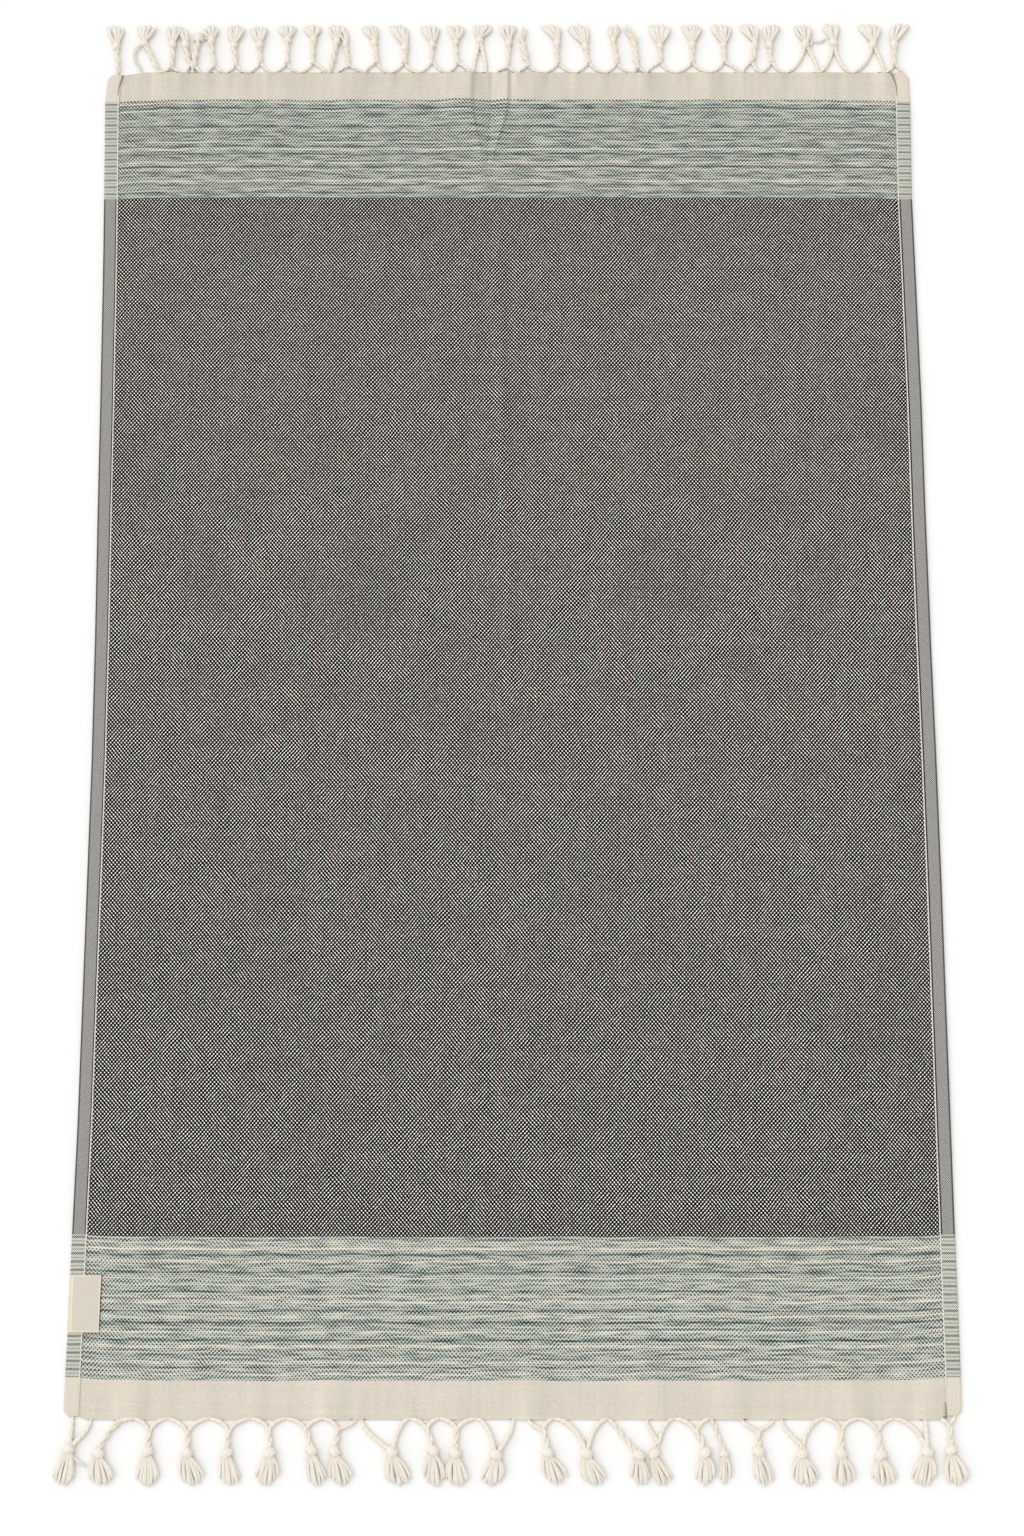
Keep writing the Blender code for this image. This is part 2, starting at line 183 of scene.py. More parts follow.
TOP_OUT = 63.0
TOP = (
    Tassel(-489, -489, 29, -492, 31, -495, 23, Knot.LOOSE),
    Tassel(-438, -438, 36, -457, 36, -455, 27, Knot.LOOSE),
    Tassel(-438, -412, 3, -422, 34, -421, 20, Knot.LOOSE),
    Tassel(-405, -387, 7, -406, 34, -414, 12, Knot.LOOSE),
    Tassel(-397, -397, 41, -390, 43, -390, 8, Knot.FRAYED),
    Tassel(-378, -357, 7, -374, 39, -376, 18, Knot.LOOSE),
    Tassel(-356, -329, 8, -346, 33, -344, 22, Knot.LOOSE),
    Tassel(-328, -297, 12, -314, 33, -315, 22, Knot.LOOSE),
    Tassel(-297, -264, 10, -279, 40, -281, 25, Knot.LOOSE),
    Tassel(-264, -231, 10, -247, 41, -248, 24, Knot.LOOSE),
    Tassel(-226, -226, 40, -218, 38, -221, 16, Knot.LOOSE),
    Tassel(-217, -186, 6, -207, 35, -213, 11, Knot.LOOSE),
    Tassel(-183, -152, 11, -171, 37, -179, 20, Knot.LOOSE),
    Tassel(-152, -117, 11, -133, 30, -143, 24, Knot.LOOSE),
    Tassel(-117, -81, 14, -99, 34, -103, 24, Knot.LOOSE),
    Tassel(-81, -53, 11, -70, 37, -71, 22, Knot.LOOSE),
    Tassel(-48, -32, 40, -40, 40, -37, 25, Knot.LOOSE),
    Tassel(-20, 4, 4, -4, 36, -6, 23, Knot.LOOSE),
    Tassel(8, 37, 6, 12, 46, 15, 6, Knot.UNTIED),
    Tassel(39, 77, 11, 56, 36, 47, 25, Knot.LOOSE),
    Tassel(77, 115, 12, 91, 31, 81, 24, Knot.LOOSE),
    Tassel(115, 148, 11, 126, 40, 127, 16, Knot.LOOSE),
    Tassel(150, 164, 4, 151, 46, 141, 9, Knot.UNTIED),
    Tassel(167, 202, 11, 184, 32, 183, 28, Knot.LOOSE),
    Tassel(202, 245, 11, 224, 34, 223, 26, Knot.LOOSE),
    Tassel(245, 282, 12, 263, 33, 259, 25, Knot.LOOSE),
    Tassel(286, 308, 13, 302, 36, 294, 21, Knot.LOOSE),
    Tassel(308, 338, 13, 320, 33, 324, 20, Knot.LOOSE),
    Tassel(339, 380, 34, 365, 34, 361, 21, Knot.LOOSE),
    Tassel(380, 421, 36, 400, 36, 397, 23, Knot.LOOSE),
    Tassel(421, 462, 34, 449, 34, 444, 28, Knot.LOOSE),
    Tassel(463, 486, 8, 475, 34, 486, 24, Knot.LOOSE),
)


class Weft(NamedTuple):
    """A coloured line of the weft: its middle, and how much paler (or darker, below 0) than its band it is."""

    along: float
    paler: float


LOWER_BAND = (37.4, 198.0)
LOWER_WEFTS = (
    Weft(38.9, -0.1), Weft(44.3, 0.45), Weft(46.8, -0.35), Weft(49.1, 0.4), Weft(51.3, -1.0), Weft(57.4, 0.5),
    Weft(60.5, -0.3), Weft(65.6, -0.45), Weft(67.9, 0.3), Weft(70.2, -0.6), Weft(75.2, 0.65), Weft(81.9, -0.95),
    Weft(90.7, 0.5), Weft(93.4, -0.4), Weft(95.6, 0.25), Weft(97.8, -0.3), Weft(101.5, -0.95), Weft(108.0, 0.5),
    Weft(111.2, 0.25), Weft(114.4, -0.85), Weft(124.4, 0.6), Weft(127.2, -0.25), Weft(130.1, 0.4),
    Weft(136.3, -0.65), Weft(144.9, 0.3), Weft(148.1, -0.3), Weft(150.5, 0.7), Weft(157.9, -0.85),
    Weft(162.5, -0.3), Weft(167.0, -0.35), Weft(169.9, 0.6), Weft(177.6, -0.95), Weft(184.3, 0.75),
    Weft(191.6, 0.35), Weft(194.3, -0.5),
)
UPPER_BAND = (1472.0, 1603.8)
UPPER_WEFTS = (
    Weft(1478.7, -0.6), Weft(1482.6, 0.2), Weft(1489.0, -0.6), Weft(1494.4, 0.6), Weft(1500.6, -0.4),
    Weft(1505.2, -0.45), Weft(1509.8, 0.4), Weft(1513.4, -0.8), Weft(1519.4, 0.45), Weft(1522.0, -0.3),
    Weft(1526.3, -0.3), Weft(1530.3, -0.8), Weft(1536.9, 0.55), Weft(1540.4, -0.6), Weft(1543.8, -0.3),
    Weft(1546.4, 0.4), Weft(1549.2, -0.45), Weft(1553.7, -0.35), Weft(1558.8, -0.6), Weft(1562.0, 0.3),
    Weft(1567.5, -0.75), Weft(1573.6, 0.25), Weft(1583.3, -0.5), Weft(1589.3, 0.35), Weft(1592.3, -1.0),
    Weft(1596.6, -0.4), Weft(1599.2, 0.7), Weft(1601.8, -0.1),
)
WEFT_FLAT = 0.55          # half the width over which a line has its full colour
WEFT_FADE = 1.9           # and half the width in which it fades out
WEFT_PLAIN = 0.5          # a band's own tone, from 0, darkest, to 1, palest


# ---- Numbers and places ----


def smooth(low: float, high: float, value: np.ndarray | float) -> np.ndarray | float:
    """A soft step.

    Args:
        low: where it is 0.
        high: where it is 1.
        value: a number or an array.

    Returns:
        The step at the value, level at both ends.
    """
    share = np.clip((value - low) / (high - low), 0.0, 1.0)
    return share * share * (3.0 - 2.0 * share)


def blend(a: float, b: float, share: float) -> float:
    """The number a share of the way from a to b."""
    return a + (b - a) * share


def evenly(start: float, end: float, spacing: float) -> list[float]:
    """Places from start to before end, about this far apart."""
    count = max(1, round(abs(end - start) / spacing))
    return [start + (end - start) * i / count for i in range(count)]


def side_edges(along: np.ndarray | float) -> tuple[np.ndarray, np.ndarray]:
    """The cloth's side edges, carried straight on at its rounded corners.

    Args:
        along: heights along the cloth.

    Returns:
        How far across the left and the right edge lie at those heights.
    """
    heights = [s.along for s in SIDES]
    left = np.interp(along, heights, [s.left for s in SIDES])
    return left, np.interp(along, heights, [s.right for s in SIDES])


def walk(marks: Sequence[Span]) -> list[tuple[float, float, float]]:
    """Closer places on the straight stretches between marks.

    Args:
        marks: points by (across, along) or (across, out).

    Returns:
        The places, each followed by its share of the way.
    """
    steps = np.linspace(0, len(marks) - 1, 4 * len(marks))
    x, y = (np.interp(steps, range(len(marks)), column) for column in zip(*marks))
    return list(zip(x, y, steps / steps[-1]))


@dataclass(frozen=True)
class Place:
    """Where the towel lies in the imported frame."""

    across_zero: float
    along_zero: float

    @classmethod
    def of_frame(cls) -> "Place":
        """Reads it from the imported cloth, whose corners are known in both."""
        low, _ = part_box("cloth")
        return cls(low.x / MM - WIDEST_LEFT, low.y / MM)

    def point(self, across: float, along: float, up: float) -> Vector:
        """A place on the towel as a point of the frame, in metres."""
        return Vector((across + self.across_zero, along + self.along_zero, up)) * MM


class Edge(Enum):
    """The cloth's two fringed edges."""

    LOWER = "bottom"
    UPPER = "top"


# ---- Node trees ----


class Signal:
    """A node's output, which takes Python's arithmetic as long as it carries a number."""

    def __init__(self, tree: "Tree", socket: bpy.types.NodeSocket) -> None:
        """Wraps a socket of the tree."""
        self.tree = tree
        self.socket = socket

    def other(self, name: str | int) -> "Signal":
        """Another output of the same node."""
        return Signal(self.tree, self.socket.node.outputs[name])

    def __add__(self, value: "Number") -> "Signal":
        """The sum."""
        return self.tree.maths("ADD", self, value)

    __radd__ = __add__

    def __sub__(self, value: "Number") -> "Signal":
        """The difference."""
        return self.tree.maths("SUBTRACT", self, value)

    def __rsub__(self, value: "Number") -> "Signal":
        """The difference the other way round."""
        return self.tree.maths("SUBTRACT", value, self)

    def __mul__(self, value: "Number") -> "Signal":
        """The product."""
        return self.tree.maths("MULTIPLY", self, value)

    __rmul__ = __mul__

    def __truediv__(self, value: "Number") -> "Signal":
        """The quotient."""
        return self.tree.maths("DIVIDE", self, value)

    def __abs__(self) -> "Signal":
        """The size without its sign."""
        return self.tree.maths("ABSOLUTE", self)

    def sin(self) -> "Signal":
        """The sine."""
        return self.tree.maths("SINE", self)

    def cos(self) -> "Signal":
        """The cosine."""
        return self.tree.maths("COSINE", self)

    def power(self, value: "Number") -> "Signal":
        """The power."""
        return self.tree.maths("POWER", self, value)

    def above(self, value: "Number") -> "Signal":
        """1 where it is greater than the value, else 0."""
        return self.tree.maths("GREATER_THAN", self, value)

    def most(self, value: "Number") -> "Signal":
        """The greater of the two."""
        return self.tree.maths("MAXIMUM", self, value)

    def least(self, value: "Number") -> "Signal":
        """The smaller of the two."""
        return self.tree.maths("MINIMUM", self, value)

    def soft_step(self, low: float, high: float) -> "Signal":
        """A step from 0 at low to 1 at high, level at both."""
        settings = {"interpolation_type": "SMOOTHSTEP"}
        return self.tree.node("ShaderNodeMapRange", settings, {0: self, 1: low, 2: high, 3: 0.0, 4: 1.0})


Number = Signal | float


class Tree:
    """Builds a shader's or a geometry's node tree from Python expressions."""

    def __init__(self, tree: bpy.types.NodeTree) -> None:
        """Wraps a node tree."""
        self.tree = tree

    def node(self, kind: str, settings: dict | None = None, inputs: dict | None = None,
             out: str | int = 0) -> Signal:
        """Adds a node.

        Args:
            kind: the node's type.
            settings: its own settings, which are set first. "points" are the points of a curve node.
            inputs: values, or signals to link, by the sockets' names or numbers.
            out: the output to return.

        Returns:
            That output.
        """
        made = self.tree.nodes.new(kind)
        for name, value in (settings or {}).items():
            if name == "points":
                self.set_points(made, value)
            else:
                setattr(made, name, value)
        for name, value in (inputs or {}).items():
            if isinstance(value, Signal):
                self.tree.links.new(value.socket, made.inputs[name])
            else:
                made.inputs[name].default_value = value
        return Signal(self, made.outputs[out])

    @staticmethod
    def set_points(made: bpy.types.Node, points: Sequence[Span]) -> None:
        """Gives a curve node straight stretches between points.

        Args:
            made: the node.
            points: where its curve goes, from 0 to 1 both ways.
        """
        curve = made.mapping.curves[0]
        curve.points[0].location, curve.points[-1].location = points[0], points[-1]
        for place in points[1:-1]:
            curve.points.new(*place)
        for point in curve.points:
            point.handle_type = "VECTOR"
        made.mapping.update()

    def maths(self, operation: str, *values: Number) -> Signal:
        """A Math node on these values."""
        return self.node("ShaderNodeMath", {"operation": operation}, dict(enumerate(values)))

    def vector(self, operation: str, *values: Signal | Colour, out: int = 0, **scale: Number) -> Signal:
        """A Vector Math node on these vectors, with scale= for its number."""
        inputs = {**dict(enumerate(values)), **({"Scale": scale["scale"]} if scale else {})}
        return self.node("ShaderNodeVectorMath", {"operation": operation}, inputs, out)

    def mix(self, share: Number, a: Signal | tuple, b: Signal | tuple) -> Signal:
        """The colour a share of the way from a to b."""
        a, b = (v if isinstance(v, Signal) else (*v, 1.0) for v in (a, b))
        return self.node("ShaderNodeMix", {"data_type": "RGBA"}, {0: share, 6: a, 7: b}, out=2)

    def xyz(self, x: Number, y: Number, z: Number = 0.0) -> Signal:
        """A vector of three numbers."""
        return self.node("ShaderNodeCombineXYZ", {}, {0: x, 1: y, 2: z})

    def noise(self, where: Signal, scale: float, detail: float = 1.0) -> Signal:
        """Soft noise from 0 to 1."""
        return self.node("ShaderNodeTexNoise", {}, {"Vector": where, "Scale": scale, "Detail": detail})


class Recipe(Tree):
    """A geometry tree with named inputs, run on an object as a modifier."""

    def __init__(self, name: str) -> None:
        """Starts a tree whose first input and only output are the geometry.

        Args:
            name: the tree's name.
        """
        group = bpy.data.node_groups.new(name, "GeometryNodeTree")
        group.interface.new_socket("Geometry", in_out="INPUT", socket_type="NodeSocketGeometry")
        group.interface.new_socket("Geometry", in_out="OUTPUT", socket_type="NodeSocketGeometry")
        super().__init__(group)
        self.entry = group.nodes.new("NodeGroupInput")
        self.ids: dict[str, str] = {}

    @property
    def geometry(self) -> Signal:
        """The geometry that comes in."""
        return Signal(self, self.entry.outputs["Geometry"])

    def number(self, name: str, whole: bool = False) -> Signal:
        """A named input for a number."""
        return self.input(name, "NodeSocketInt" if whole else "NodeSocketFloat")

    def input(self, name: str, kind: str) -> Signal:
        """Adds a named input.

        Args:
            name: what a run calls it.
            kind: the type of its socket.

        Returns:
            Its value.
        """
        socket = self.tree.interface.new_socket(name, in_out="INPUT", socket_type=kind)
        self.ids[name] = socket.identifier
        return Signal(self, self.entry.outputs[name])

    def lines(self) -> Signal:
        """The incoming edges as curves."""
        return self.node("GeometryNodeMeshToCurve", {}, {"Mesh": self.geometry})

    def steps(self, curve: Signal, step: Signal) -> Signal:
        """Curves with a point at each step of their length."""
        return self.node("GeometryNodeResampleCurve", {"mode": "LENGTH"}, {"Curve": curve, "Length": step})

    def copies(self, curves: Signal, amount: Signal) -> Signal:
        """This many of each curve. Another output is the copy's number."""
        return self.node("GeometryNodeDuplicateElements", {"domain": "SPLINE"}, {"Geometry": curves, "Amount": amount})

    def moved(self, geometry: Signal, offset: Signal) -> Signal:
        """The geometry with its points moved."""
        return self.node("GeometryNodeSetPosition", {}, {"Geometry": geometry, "Offset": offset})

    def beside_and_over(self) -> tuple[Signal, Signal]:
        """The directions across a curve.

        Returns:
            Level beside it, and square above it.
        """
        tangent = self.node("GeometryNodeInputTangent")
        beside = self.vector("NORMALIZE", self.vector("CROSS_PRODUCT", tangent, UPWARDS))
        return beside, self.vector("CROSS_PRODUCT", beside, tangent)

    def tube(self, curve: Signal, sides: Signal | int, radius: Signal) -> Signal:
        """Closed tubes round curves.

        Args:
            curve: the curves.
            sides: how many sides a tube has.
            radius: its radius.

        Returns:
            The tubes.
        """
        ring = self.node("GeometryNodeCurvePrimitiveCircle", {}, {"Resolution": sides, "Radius": 1.0})
        inputs = {"Curve": curve, "Profile Curve": ring, "Scale": radius, "Fill Caps": True}
        return self.node("GeometryNodeCurveToMesh", {}, inputs)

    def read(self, name: str, kind: str = "FLOAT") -> Signal:
        """A number, or another kind of value, that the lines carry."""
        return self.node("GeometryNodeInputNamedAttribute", {"data_type": kind}, {"Name": name})

    def per_strand(self, value: Signal, kind: str = "FLOAT") -> Signal:
        """The value taken once for each strand."""
        return self.node("GeometryNodeFieldOnDomain", {"domain": "CURVE", "data_type": kind}, {0: value})

    def chance(self, strand: Signal, seed: Signal, turn: int) -> Signal:
        """A number from 0 to 1 for each strand, different for each turn."""
        return self.node("FunctionNodeRandomValue", {}, {"ID": strand, "Seed": seed + 17 * turn}, out=1)

    def store(self, geometry: Signal, name: str, value: Signal, kind: str = "FLOAT") -> Signal:
        """Keeps a value at each point under a name."""
        inputs = {"Geometry": geometry, "Name": name, "Value": value}
        return self.node("GeometryNodeStoreNamedAttribute", {"data_type": kind, "domain": "POINT"}, inputs)

    def finish(self, geometry: Signal, material: Signal) -> "Recipe":
        """Ends the tree with real, smooth geometry in its material.

        Args:
            geometry: the result.
            material: the input that holds the material.

        Returns:
            The recipe, ready to run.
        """
        real = self.node("GeometryNodeRealizeInstances", {}, {"Geometry": geometry})
        soft = self.node("GeometryNodeSetShadeSmooth", {}, {"Geometry": real})
        dressed = self.node("GeometryNodeSetMaterial", {}, {"Geometry": soft, "Material": material})
        exit_node = self.tree.nodes.new("NodeGroupOutput")
        self.tree.links.new(dressed.socket, exit_node.inputs["Geometry"])
        return self

    def run(self, guides: bpy.types.Object, name: str, **values: object) -> bpy.types.Object:
        """Runs the tree on guide lines.

        Args:
            guides: the object whose mesh is the lines. It is used up.
            name: the new piece's name.
            **values: the inputs, by their names.

        Returns:
            The result as an object with a plain mesh.
        """
        modifier = guides.modifiers.new(self.tree.name, "NODES")
        modifier.node_group = self.tree
        for label, value in values.items():
            modifier[self.ids[label]] = value
        mesh = plain_mesh(guides, name)
        guides.modifiers.remove(modifier)
        bpy.data.objects.remove(guides)
        return add_object(name, mesh)


# ---- Meshes ----


SHARP = math.radians(50)      # a sheet's edges are sharp from here


def add_object(name: str, mesh: bpy.types.Mesh) -> bpy.types.Object:
    """Puts a mesh into the scene.

    Args:
        name: the object's name.
        mesh: its mesh.

    Returns:
        The object.
    """
    made = bpy.data.objects.new(name, mesh)
    bpy.context.scene.collection.objects.link(made)
    return made


def plain_mesh(made: bpy.types.Object, name: str) -> bpy.types.Mesh:
    """Takes an object's mesh as its modifiers leave it.

    Args:
        made: the object.
        name: the new mesh's name.

    Returns:
        The mesh, on its own.
    """
    depsgraph = bpy.context.evaluated_depsgraph_get()
    mesh = bpy.data.meshes.new_from_object(made.evaluated_get(depsgraph), depsgraph=depsgraph)
    mesh.name = name
    return mesh


def grid(name: str, points: Sequence[Vector], wide: int) -> bpy.types.Mesh:
    """Makes a sheet of four-sided faces.

    Args:
        name: the mesh's name.
        points: its points, row by row.
        wide: how many of them a row has.

    Returns:
        The mesh.
    """
    faces = [(i, i + 1, i + wide + 1, i + wide) for i in range(len(points) - wide) if (i + 1) % wide]
    mesh = bpy.data.meshes.new(name)
    mesh.from_pydata(points, [], faces)
    return mesh


def solidified(mesh: bpy.types.Mesh, thick: float, materials: Sequence[bpy.types.Material]) -> bpy.types.Object:
    """A closed sheet round a mesh of one layer.

    Args:
        mesh: the layer's middle. Its faces point to the side of the first material.
        thick: the sheet's thickness.
        materials: for the face side and the reverse.

    Returns:
        The sheet as an object with a plain mesh.
    """
    made = add_object(mesh.name, mesh)
    for material in materials:
        mesh.materials.append(material)
    wall = made.modifiers.new("thickness", "SOLIDIFY")
    wall.thickness = thick * MM
    wall.offset = 0.0
    wall.material_offset = len(materials) - 1
    solid = plain_mesh(made, mesh.name)
    made.modifiers.remove(wall)
    made.data = solid
    solid.shade_smooth()
    solid.set_sharp_from_angle(angle=SHARP)
    return made


class Line(NamedTuple):
    """A strand's middle line, with its width and its share of light at each point."""

    points: list[Vector]
    widths: list[float]
    lit: list[float]
    phase: float = 0.0

    @classmethod
    def seam(cls, points: list[Vector]) -> "Line":
        """A line of sewing, in full light."""
        return cls(points, [1.0] * len(points), [1.0] * len(points))


def guide_lines(name: str, lines: Iterable[Line]) -> bpy.types.Object:
    """Makes one mesh of edges out of lines. It carries their widths, in metres, shares of light and phases.

    Args:
        name: what the object's name starts with.
        lines: the lines, with points in metres.

    Returns:
        The edges as an object.
    """
    points, edges, widths, lit, phases = [], [], [], [], []
    for line in lines:
        start = len(points)
        points += line.points
        edges += [(start + i, start + i + 1) for i in range(len(line.points) - 1)]
        widths += [w * MM for w in line.widths]
        lit += line.lit
        phases += [line.phase] * len(line.points)
    mesh = bpy.data.meshes.new(name)
    mesh.from_pydata(points, edges, [])
    for label, values in (("wide", widths), ("lit", lit), ("phase", phases)):
        mesh.attributes.new(label, "FLOAT", "POINT").data.foreach_set("value", values)
    return add_object(name + "_guides", mesh)


def dress(piece: bpy.types.Object, slot: str, *nodes: str) -> bpy.types.Object:
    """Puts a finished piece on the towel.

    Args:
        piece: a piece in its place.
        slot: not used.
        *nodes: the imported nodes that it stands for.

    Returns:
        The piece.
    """
    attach(piece, BODY)
    if nodes:
        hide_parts(*nodes)
    log.info("%s: %d faces", piece.name, len(piece.data.polygons))
    return piece


# ---- Finishes ----


class Surface(Tree):
    """A material's tree round its Principled shader."""

    def __init__(self, name: str) -> None:
        """Makes the material.

        Args:
            name: its name.
        """
        self.material = bpy.data.materials.new(name)
        self.material.use_nodes = True
        super().__init__(self.material.node_tree)
        self.shader = self.tree.nodes["Principled BSDF"]

    def set(self, name: str, value: Number | tuple) -> None:
        """Sets or links one of the shader's sockets.

        Args:
            name: the socket's name.
            value: a value, or a signal to link.
        """
        if isinstance(value, Signal):
            self.tree.links.new(value.socket, self.shader.inputs[name])
        else:
            self.shader.inputs[name].default_value = value

    def matt(self, rough: float, fuzz: float, shine: float = 0.2) -> None:
        """Gives the surface the sheen of matt cotton.

        Args:
            rough: its roughness.
            fuzz: how much light its fine hairs catch.
            shine: how much its surface mirrors.
        """
        self.set("Roughness", rough)
        self.set("Specular IOR Level", shine)
        self.set("Sheen Weight", fuzz)
        self.set("Sheen Roughness", 0.5)

    def bump(self, height: Signal, deep: float, strength: float = 1.0) -> None:
        """Raises the surface by a height from 0 to 1, times deep."""
        inputs = {"Strength": strength, "Distance": deep * MM, "Height": height}
        self.set("Normal", self.node("ShaderNodeBump", {}, inputs))

    def object_place(self) -> Signal:
        """The point in millimetres, in the frame."""
        place = self.node("ShaderNodeTexCoord", {}, {}, out="Object")
        return self.vector("SCALE", place, scale=1 / MM)


LOOM_MAP = "loom"


@dataclass(frozen=True)
class WovenPlace:
    """A point of the woven cloth, in millimetres across and along it as it lay on the loom."""

    where: Signal
    across: Signal
    along: Signal

    @classmethod
    def of(cls, surface: Surface) -> "WovenPlace":
        """Reads it from the cloth's own map.

        Args:
            surface: the material that is being built.

        Returns:
            The point that is being shaded.
        """
        flat = surface.vector("SCALE", surface.node("ShaderNodeUVMap", {"uv_map": LOOM_MAP}), scale=1 / MM)
        split = surface.node("ShaderNodeSeparateXYZ", {}, {0: flat})
        return cls(flat, split, split.other("Y"))

    def patches(self, across: float, along: float, detail: float = 2.0) -> Signal:
        """Soft noise from 0 to 1 in patches of about this size."""
        stretched = self.where.tree.vector("MULTIPLY", self.where, (1 / across, 1 / along, 1.0))
        return self.where.tree.noise(stretched, 1.0, detail)

    def stripes(self, heading: Signal, lower: Signal, body: Signal, upper: Signal) -> Signal:
        """Lays out the cloth's colours along it.

        Args:
            heading: at both ends.
            lower: in the lower band.
            body: between the bands.
            upper: in the upper band.

        Returns:
            The colour at the point.
        """
        colour = heading
        for start, following in zip((*LOWER_BAND, *UPPER_BAND), (lower, body, upper, heading)):
            colour = self.where.tree.mix(self.along.above(start), colour, following)
        return colour


def weft_tone(surface: Surface, along: Signal, band: Span, wefts: Sequence[Weft]) -> Signal:
    """The tone of a band's coloured lines.

    Args:
        surface: the material that is being built.
        along: the point's place along the cloth.
        band: where the band starts and ends.
        wefts: its lines.

    Returns:
        The tone at the point, from 0, darkest, to 1, palest.
    """
    start, end = band
    points = [(0.0, WEFT_PLAIN)]
    for weft in wefts:
        tone = WEFT_PLAIN * (1 + weft.paler)
        rise, fall = ((-WEFT_FADE, WEFT_PLAIN), (-WEFT_FLAT, tone)), ((WEFT_FLAT, tone), (WEFT_FADE, WEFT_PLAIN))
        for offset, value in rise + fall:
            place = (weft.along + offset - start) / (end - start)
            if place > points[-1][0] + 0.001:
                points.append((min(place, 0.998), value))
    points.append((1.0, WEFT_PLAIN))
    share = (along - start) / (end - start)
    return surface.node("ShaderNodeFloatCurve", {"points": points}, {"Value": share})


@dataclass(frozen=True)
class FaceWeave:
    """The cloth's face: dots of cream warp on charcoal, striped teal bands, and cream headings."""

    dot_across: float = 4.25      # from one dot to the next
    dot_along: float = 5.0        # over two rows, which are staggered
    zone: float = 24.0            # how far the dots run together along one diagonal or the other
    black: Colour = (0.003, 0.003, 0.0035)
    cream_dot: Colour = (0.985, 0.955, 0.885)
    teal: Colour = (0.008, 0.028, 0.036)
    soft_teal: Colour = (0.030, 0.060, 0.066)
    worn_teal: Colour = (0.105, 0.150, 0.150)
    sage: Colour = (0.605, 0.612, 0.530)
    dark_row: Colour = (0.36, 0.385, 0.345)
    stripe_cream: Colour = (0.80, 0.735, 0.62)
    heading: Colour = (0.745, 0.683, 0.590)
    heading_low: Colour = (0.640, 0.578, 0.482)
    dot_bias: float = 0.482       # how high the weave must stand to show its cream side
    dot_edge: float = 0.18        # how softly a dot of the body ends
    dot_slub: float = 0.8         # how much uneven threads change its size
    lean: Span = (0.34, 0.2)      # how far one diagonal outdoes the other, in the body and in the bands
    cover: Span = (0.15, 0.09)    # how far the pale threads cover the lower and upper bands
    cover_edge: Span = (-0.38, 0.30)
    thread: float = 1.0625        # from one warp thread to the next
    slope_light: float = 0.75     # how much brighter a slope towards the light is

    def dots(self, surface: Surface, place: WovenPlace) -> tuple[Signal, Signal]:
        """The weave's height from -1 to 1.

        Args:
            surface: the material that is being built.
            place: the point.

        Returns:
            The height as it is in the body, and as it is in the evener bands.
        """
        drift = (surface.noise(place.where, 1 / 34, 1.0) - 0.5) * 5.0
        rise = place.along * (FULL_TURN / self.dot_along)
        run = place.across * (FULL_TURN / self.dot_across) + drift
        zone = surface.noise(surface.vector("ADD", place.where, (-90.0, 640.0, 0.0)), 1 / self.zone, 1.0)
        share = zone.soft_step(0.36, 0.64) - 0.5
        up, down = (rise + run).cos(), (rise - run).cos()
        body, band = (up * (0.5 + share * lean) + down * (0.5 - share * lean) for lean in self.lean)
        return body, band

    def material(self) -> bpy.types.Material:
        """Builds it.

        Returns:
            The material.
        """
        surface = Surface("woven_face")
        place = WovenPlace.of(surface)
        dots, band_dots = self.dots(surface, place)
        slub, streak, pick = place.patches(3.1, 2.4), place.patches(7.0, 160.0), place.patches(210.0, 6.0)
        cloud = surface.noise(place.where, 1 / 90, 2.0)
        threads = (place.across * (FULL_TURN / self.thread)).cos()
        # Painted light falloff: the face is painted darker towards its upper end, by up to 4.5%.
        light_falloff = 1 - 0.045 * place.along.soft_step(600.0, 1700.0)
        # Painted light and shade: where the cloth rises towards the key light on the left it is painted brighter, where
        # it falls away darker.
        slope = surface.node("ShaderNodeAttribute", {"attribute_name": "slope"}, {}, out="Fac")
        shade = (0.78 + 0.12 * slub + 0.14 * streak + 0.14 * pick + 0.10 * cloud) * (0.965 + 0.035 * threads)
        shade = shade * light_falloff * (1 + self.slope_light * slope)

        body_dot = (dots - self.dot_bias + (slub - 0.5) * self.dot_slub).soft_step(-self.dot_edge, self.dot_edge)
        body = surface.mix(body_dot, self.black, self.cream_dot)

        broken = place.patches(30.0, 2.5).soft_step(0.36, 0.64) - 0.5
        worn = place.patches(22.0, 3.4).soft_step(0.46, 0.70)
        bands = []
        for band, wefts, bias in zip((LOWER_BAND, UPPER_BAND), (LOWER_WEFTS, UPPER_WEFTS), self.cover):
            tone = weft_tone(surface, place.along, band, wefts)
            paler = (tone - WEFT_PLAIN) * 2.0
            dark = surface.mix(paler.soft_step(-0.8, 0.1), self.teal, self.soft_teal)
            pale = surface.mix(paler.soft_step(0.05, 0.6), self.sage, self.stripe_cream)
            dark = surface.mix(worn, dark, self.worn_teal)
            push = paler.most(0.0) * 0.44 + paler.least(0.0) * 0.42 + broken * 0.62
            pale = surface.mix(paler.soft_step(-1.0, -0.3), self.dark_row, pale)
            cover = (band_dots + push + bias + (slub - 0.5) * 0.2).soft_step(*self.cover_edge)
            bands.append(surface.mix(cover, dark, pale))

        twill = (place.across * (FULL_TURN / 2.4)).sin() * (place.along * (FULL_TURN / 2.1)).sin()
        grain = (0.5 + 0.14 * twill + (slub - 0.5) * 0.9).soft_step(0.0, 1.0)
        heading = surface.mix(grain, self.heading_low, self.heading)
        # Painted shade of the gathers: soft lengthwise streaks on the headings, stronger on the upper one.
        gather_shade = place.patches(13.0, 75.0, 1.0).soft_step(0.3, 0.7) - 0.5
        heading = surface.vector("SCALE", heading, scale=1 + gather_shade * (0.02 + 0.04 * place.along.above(LENGTH / 2)))

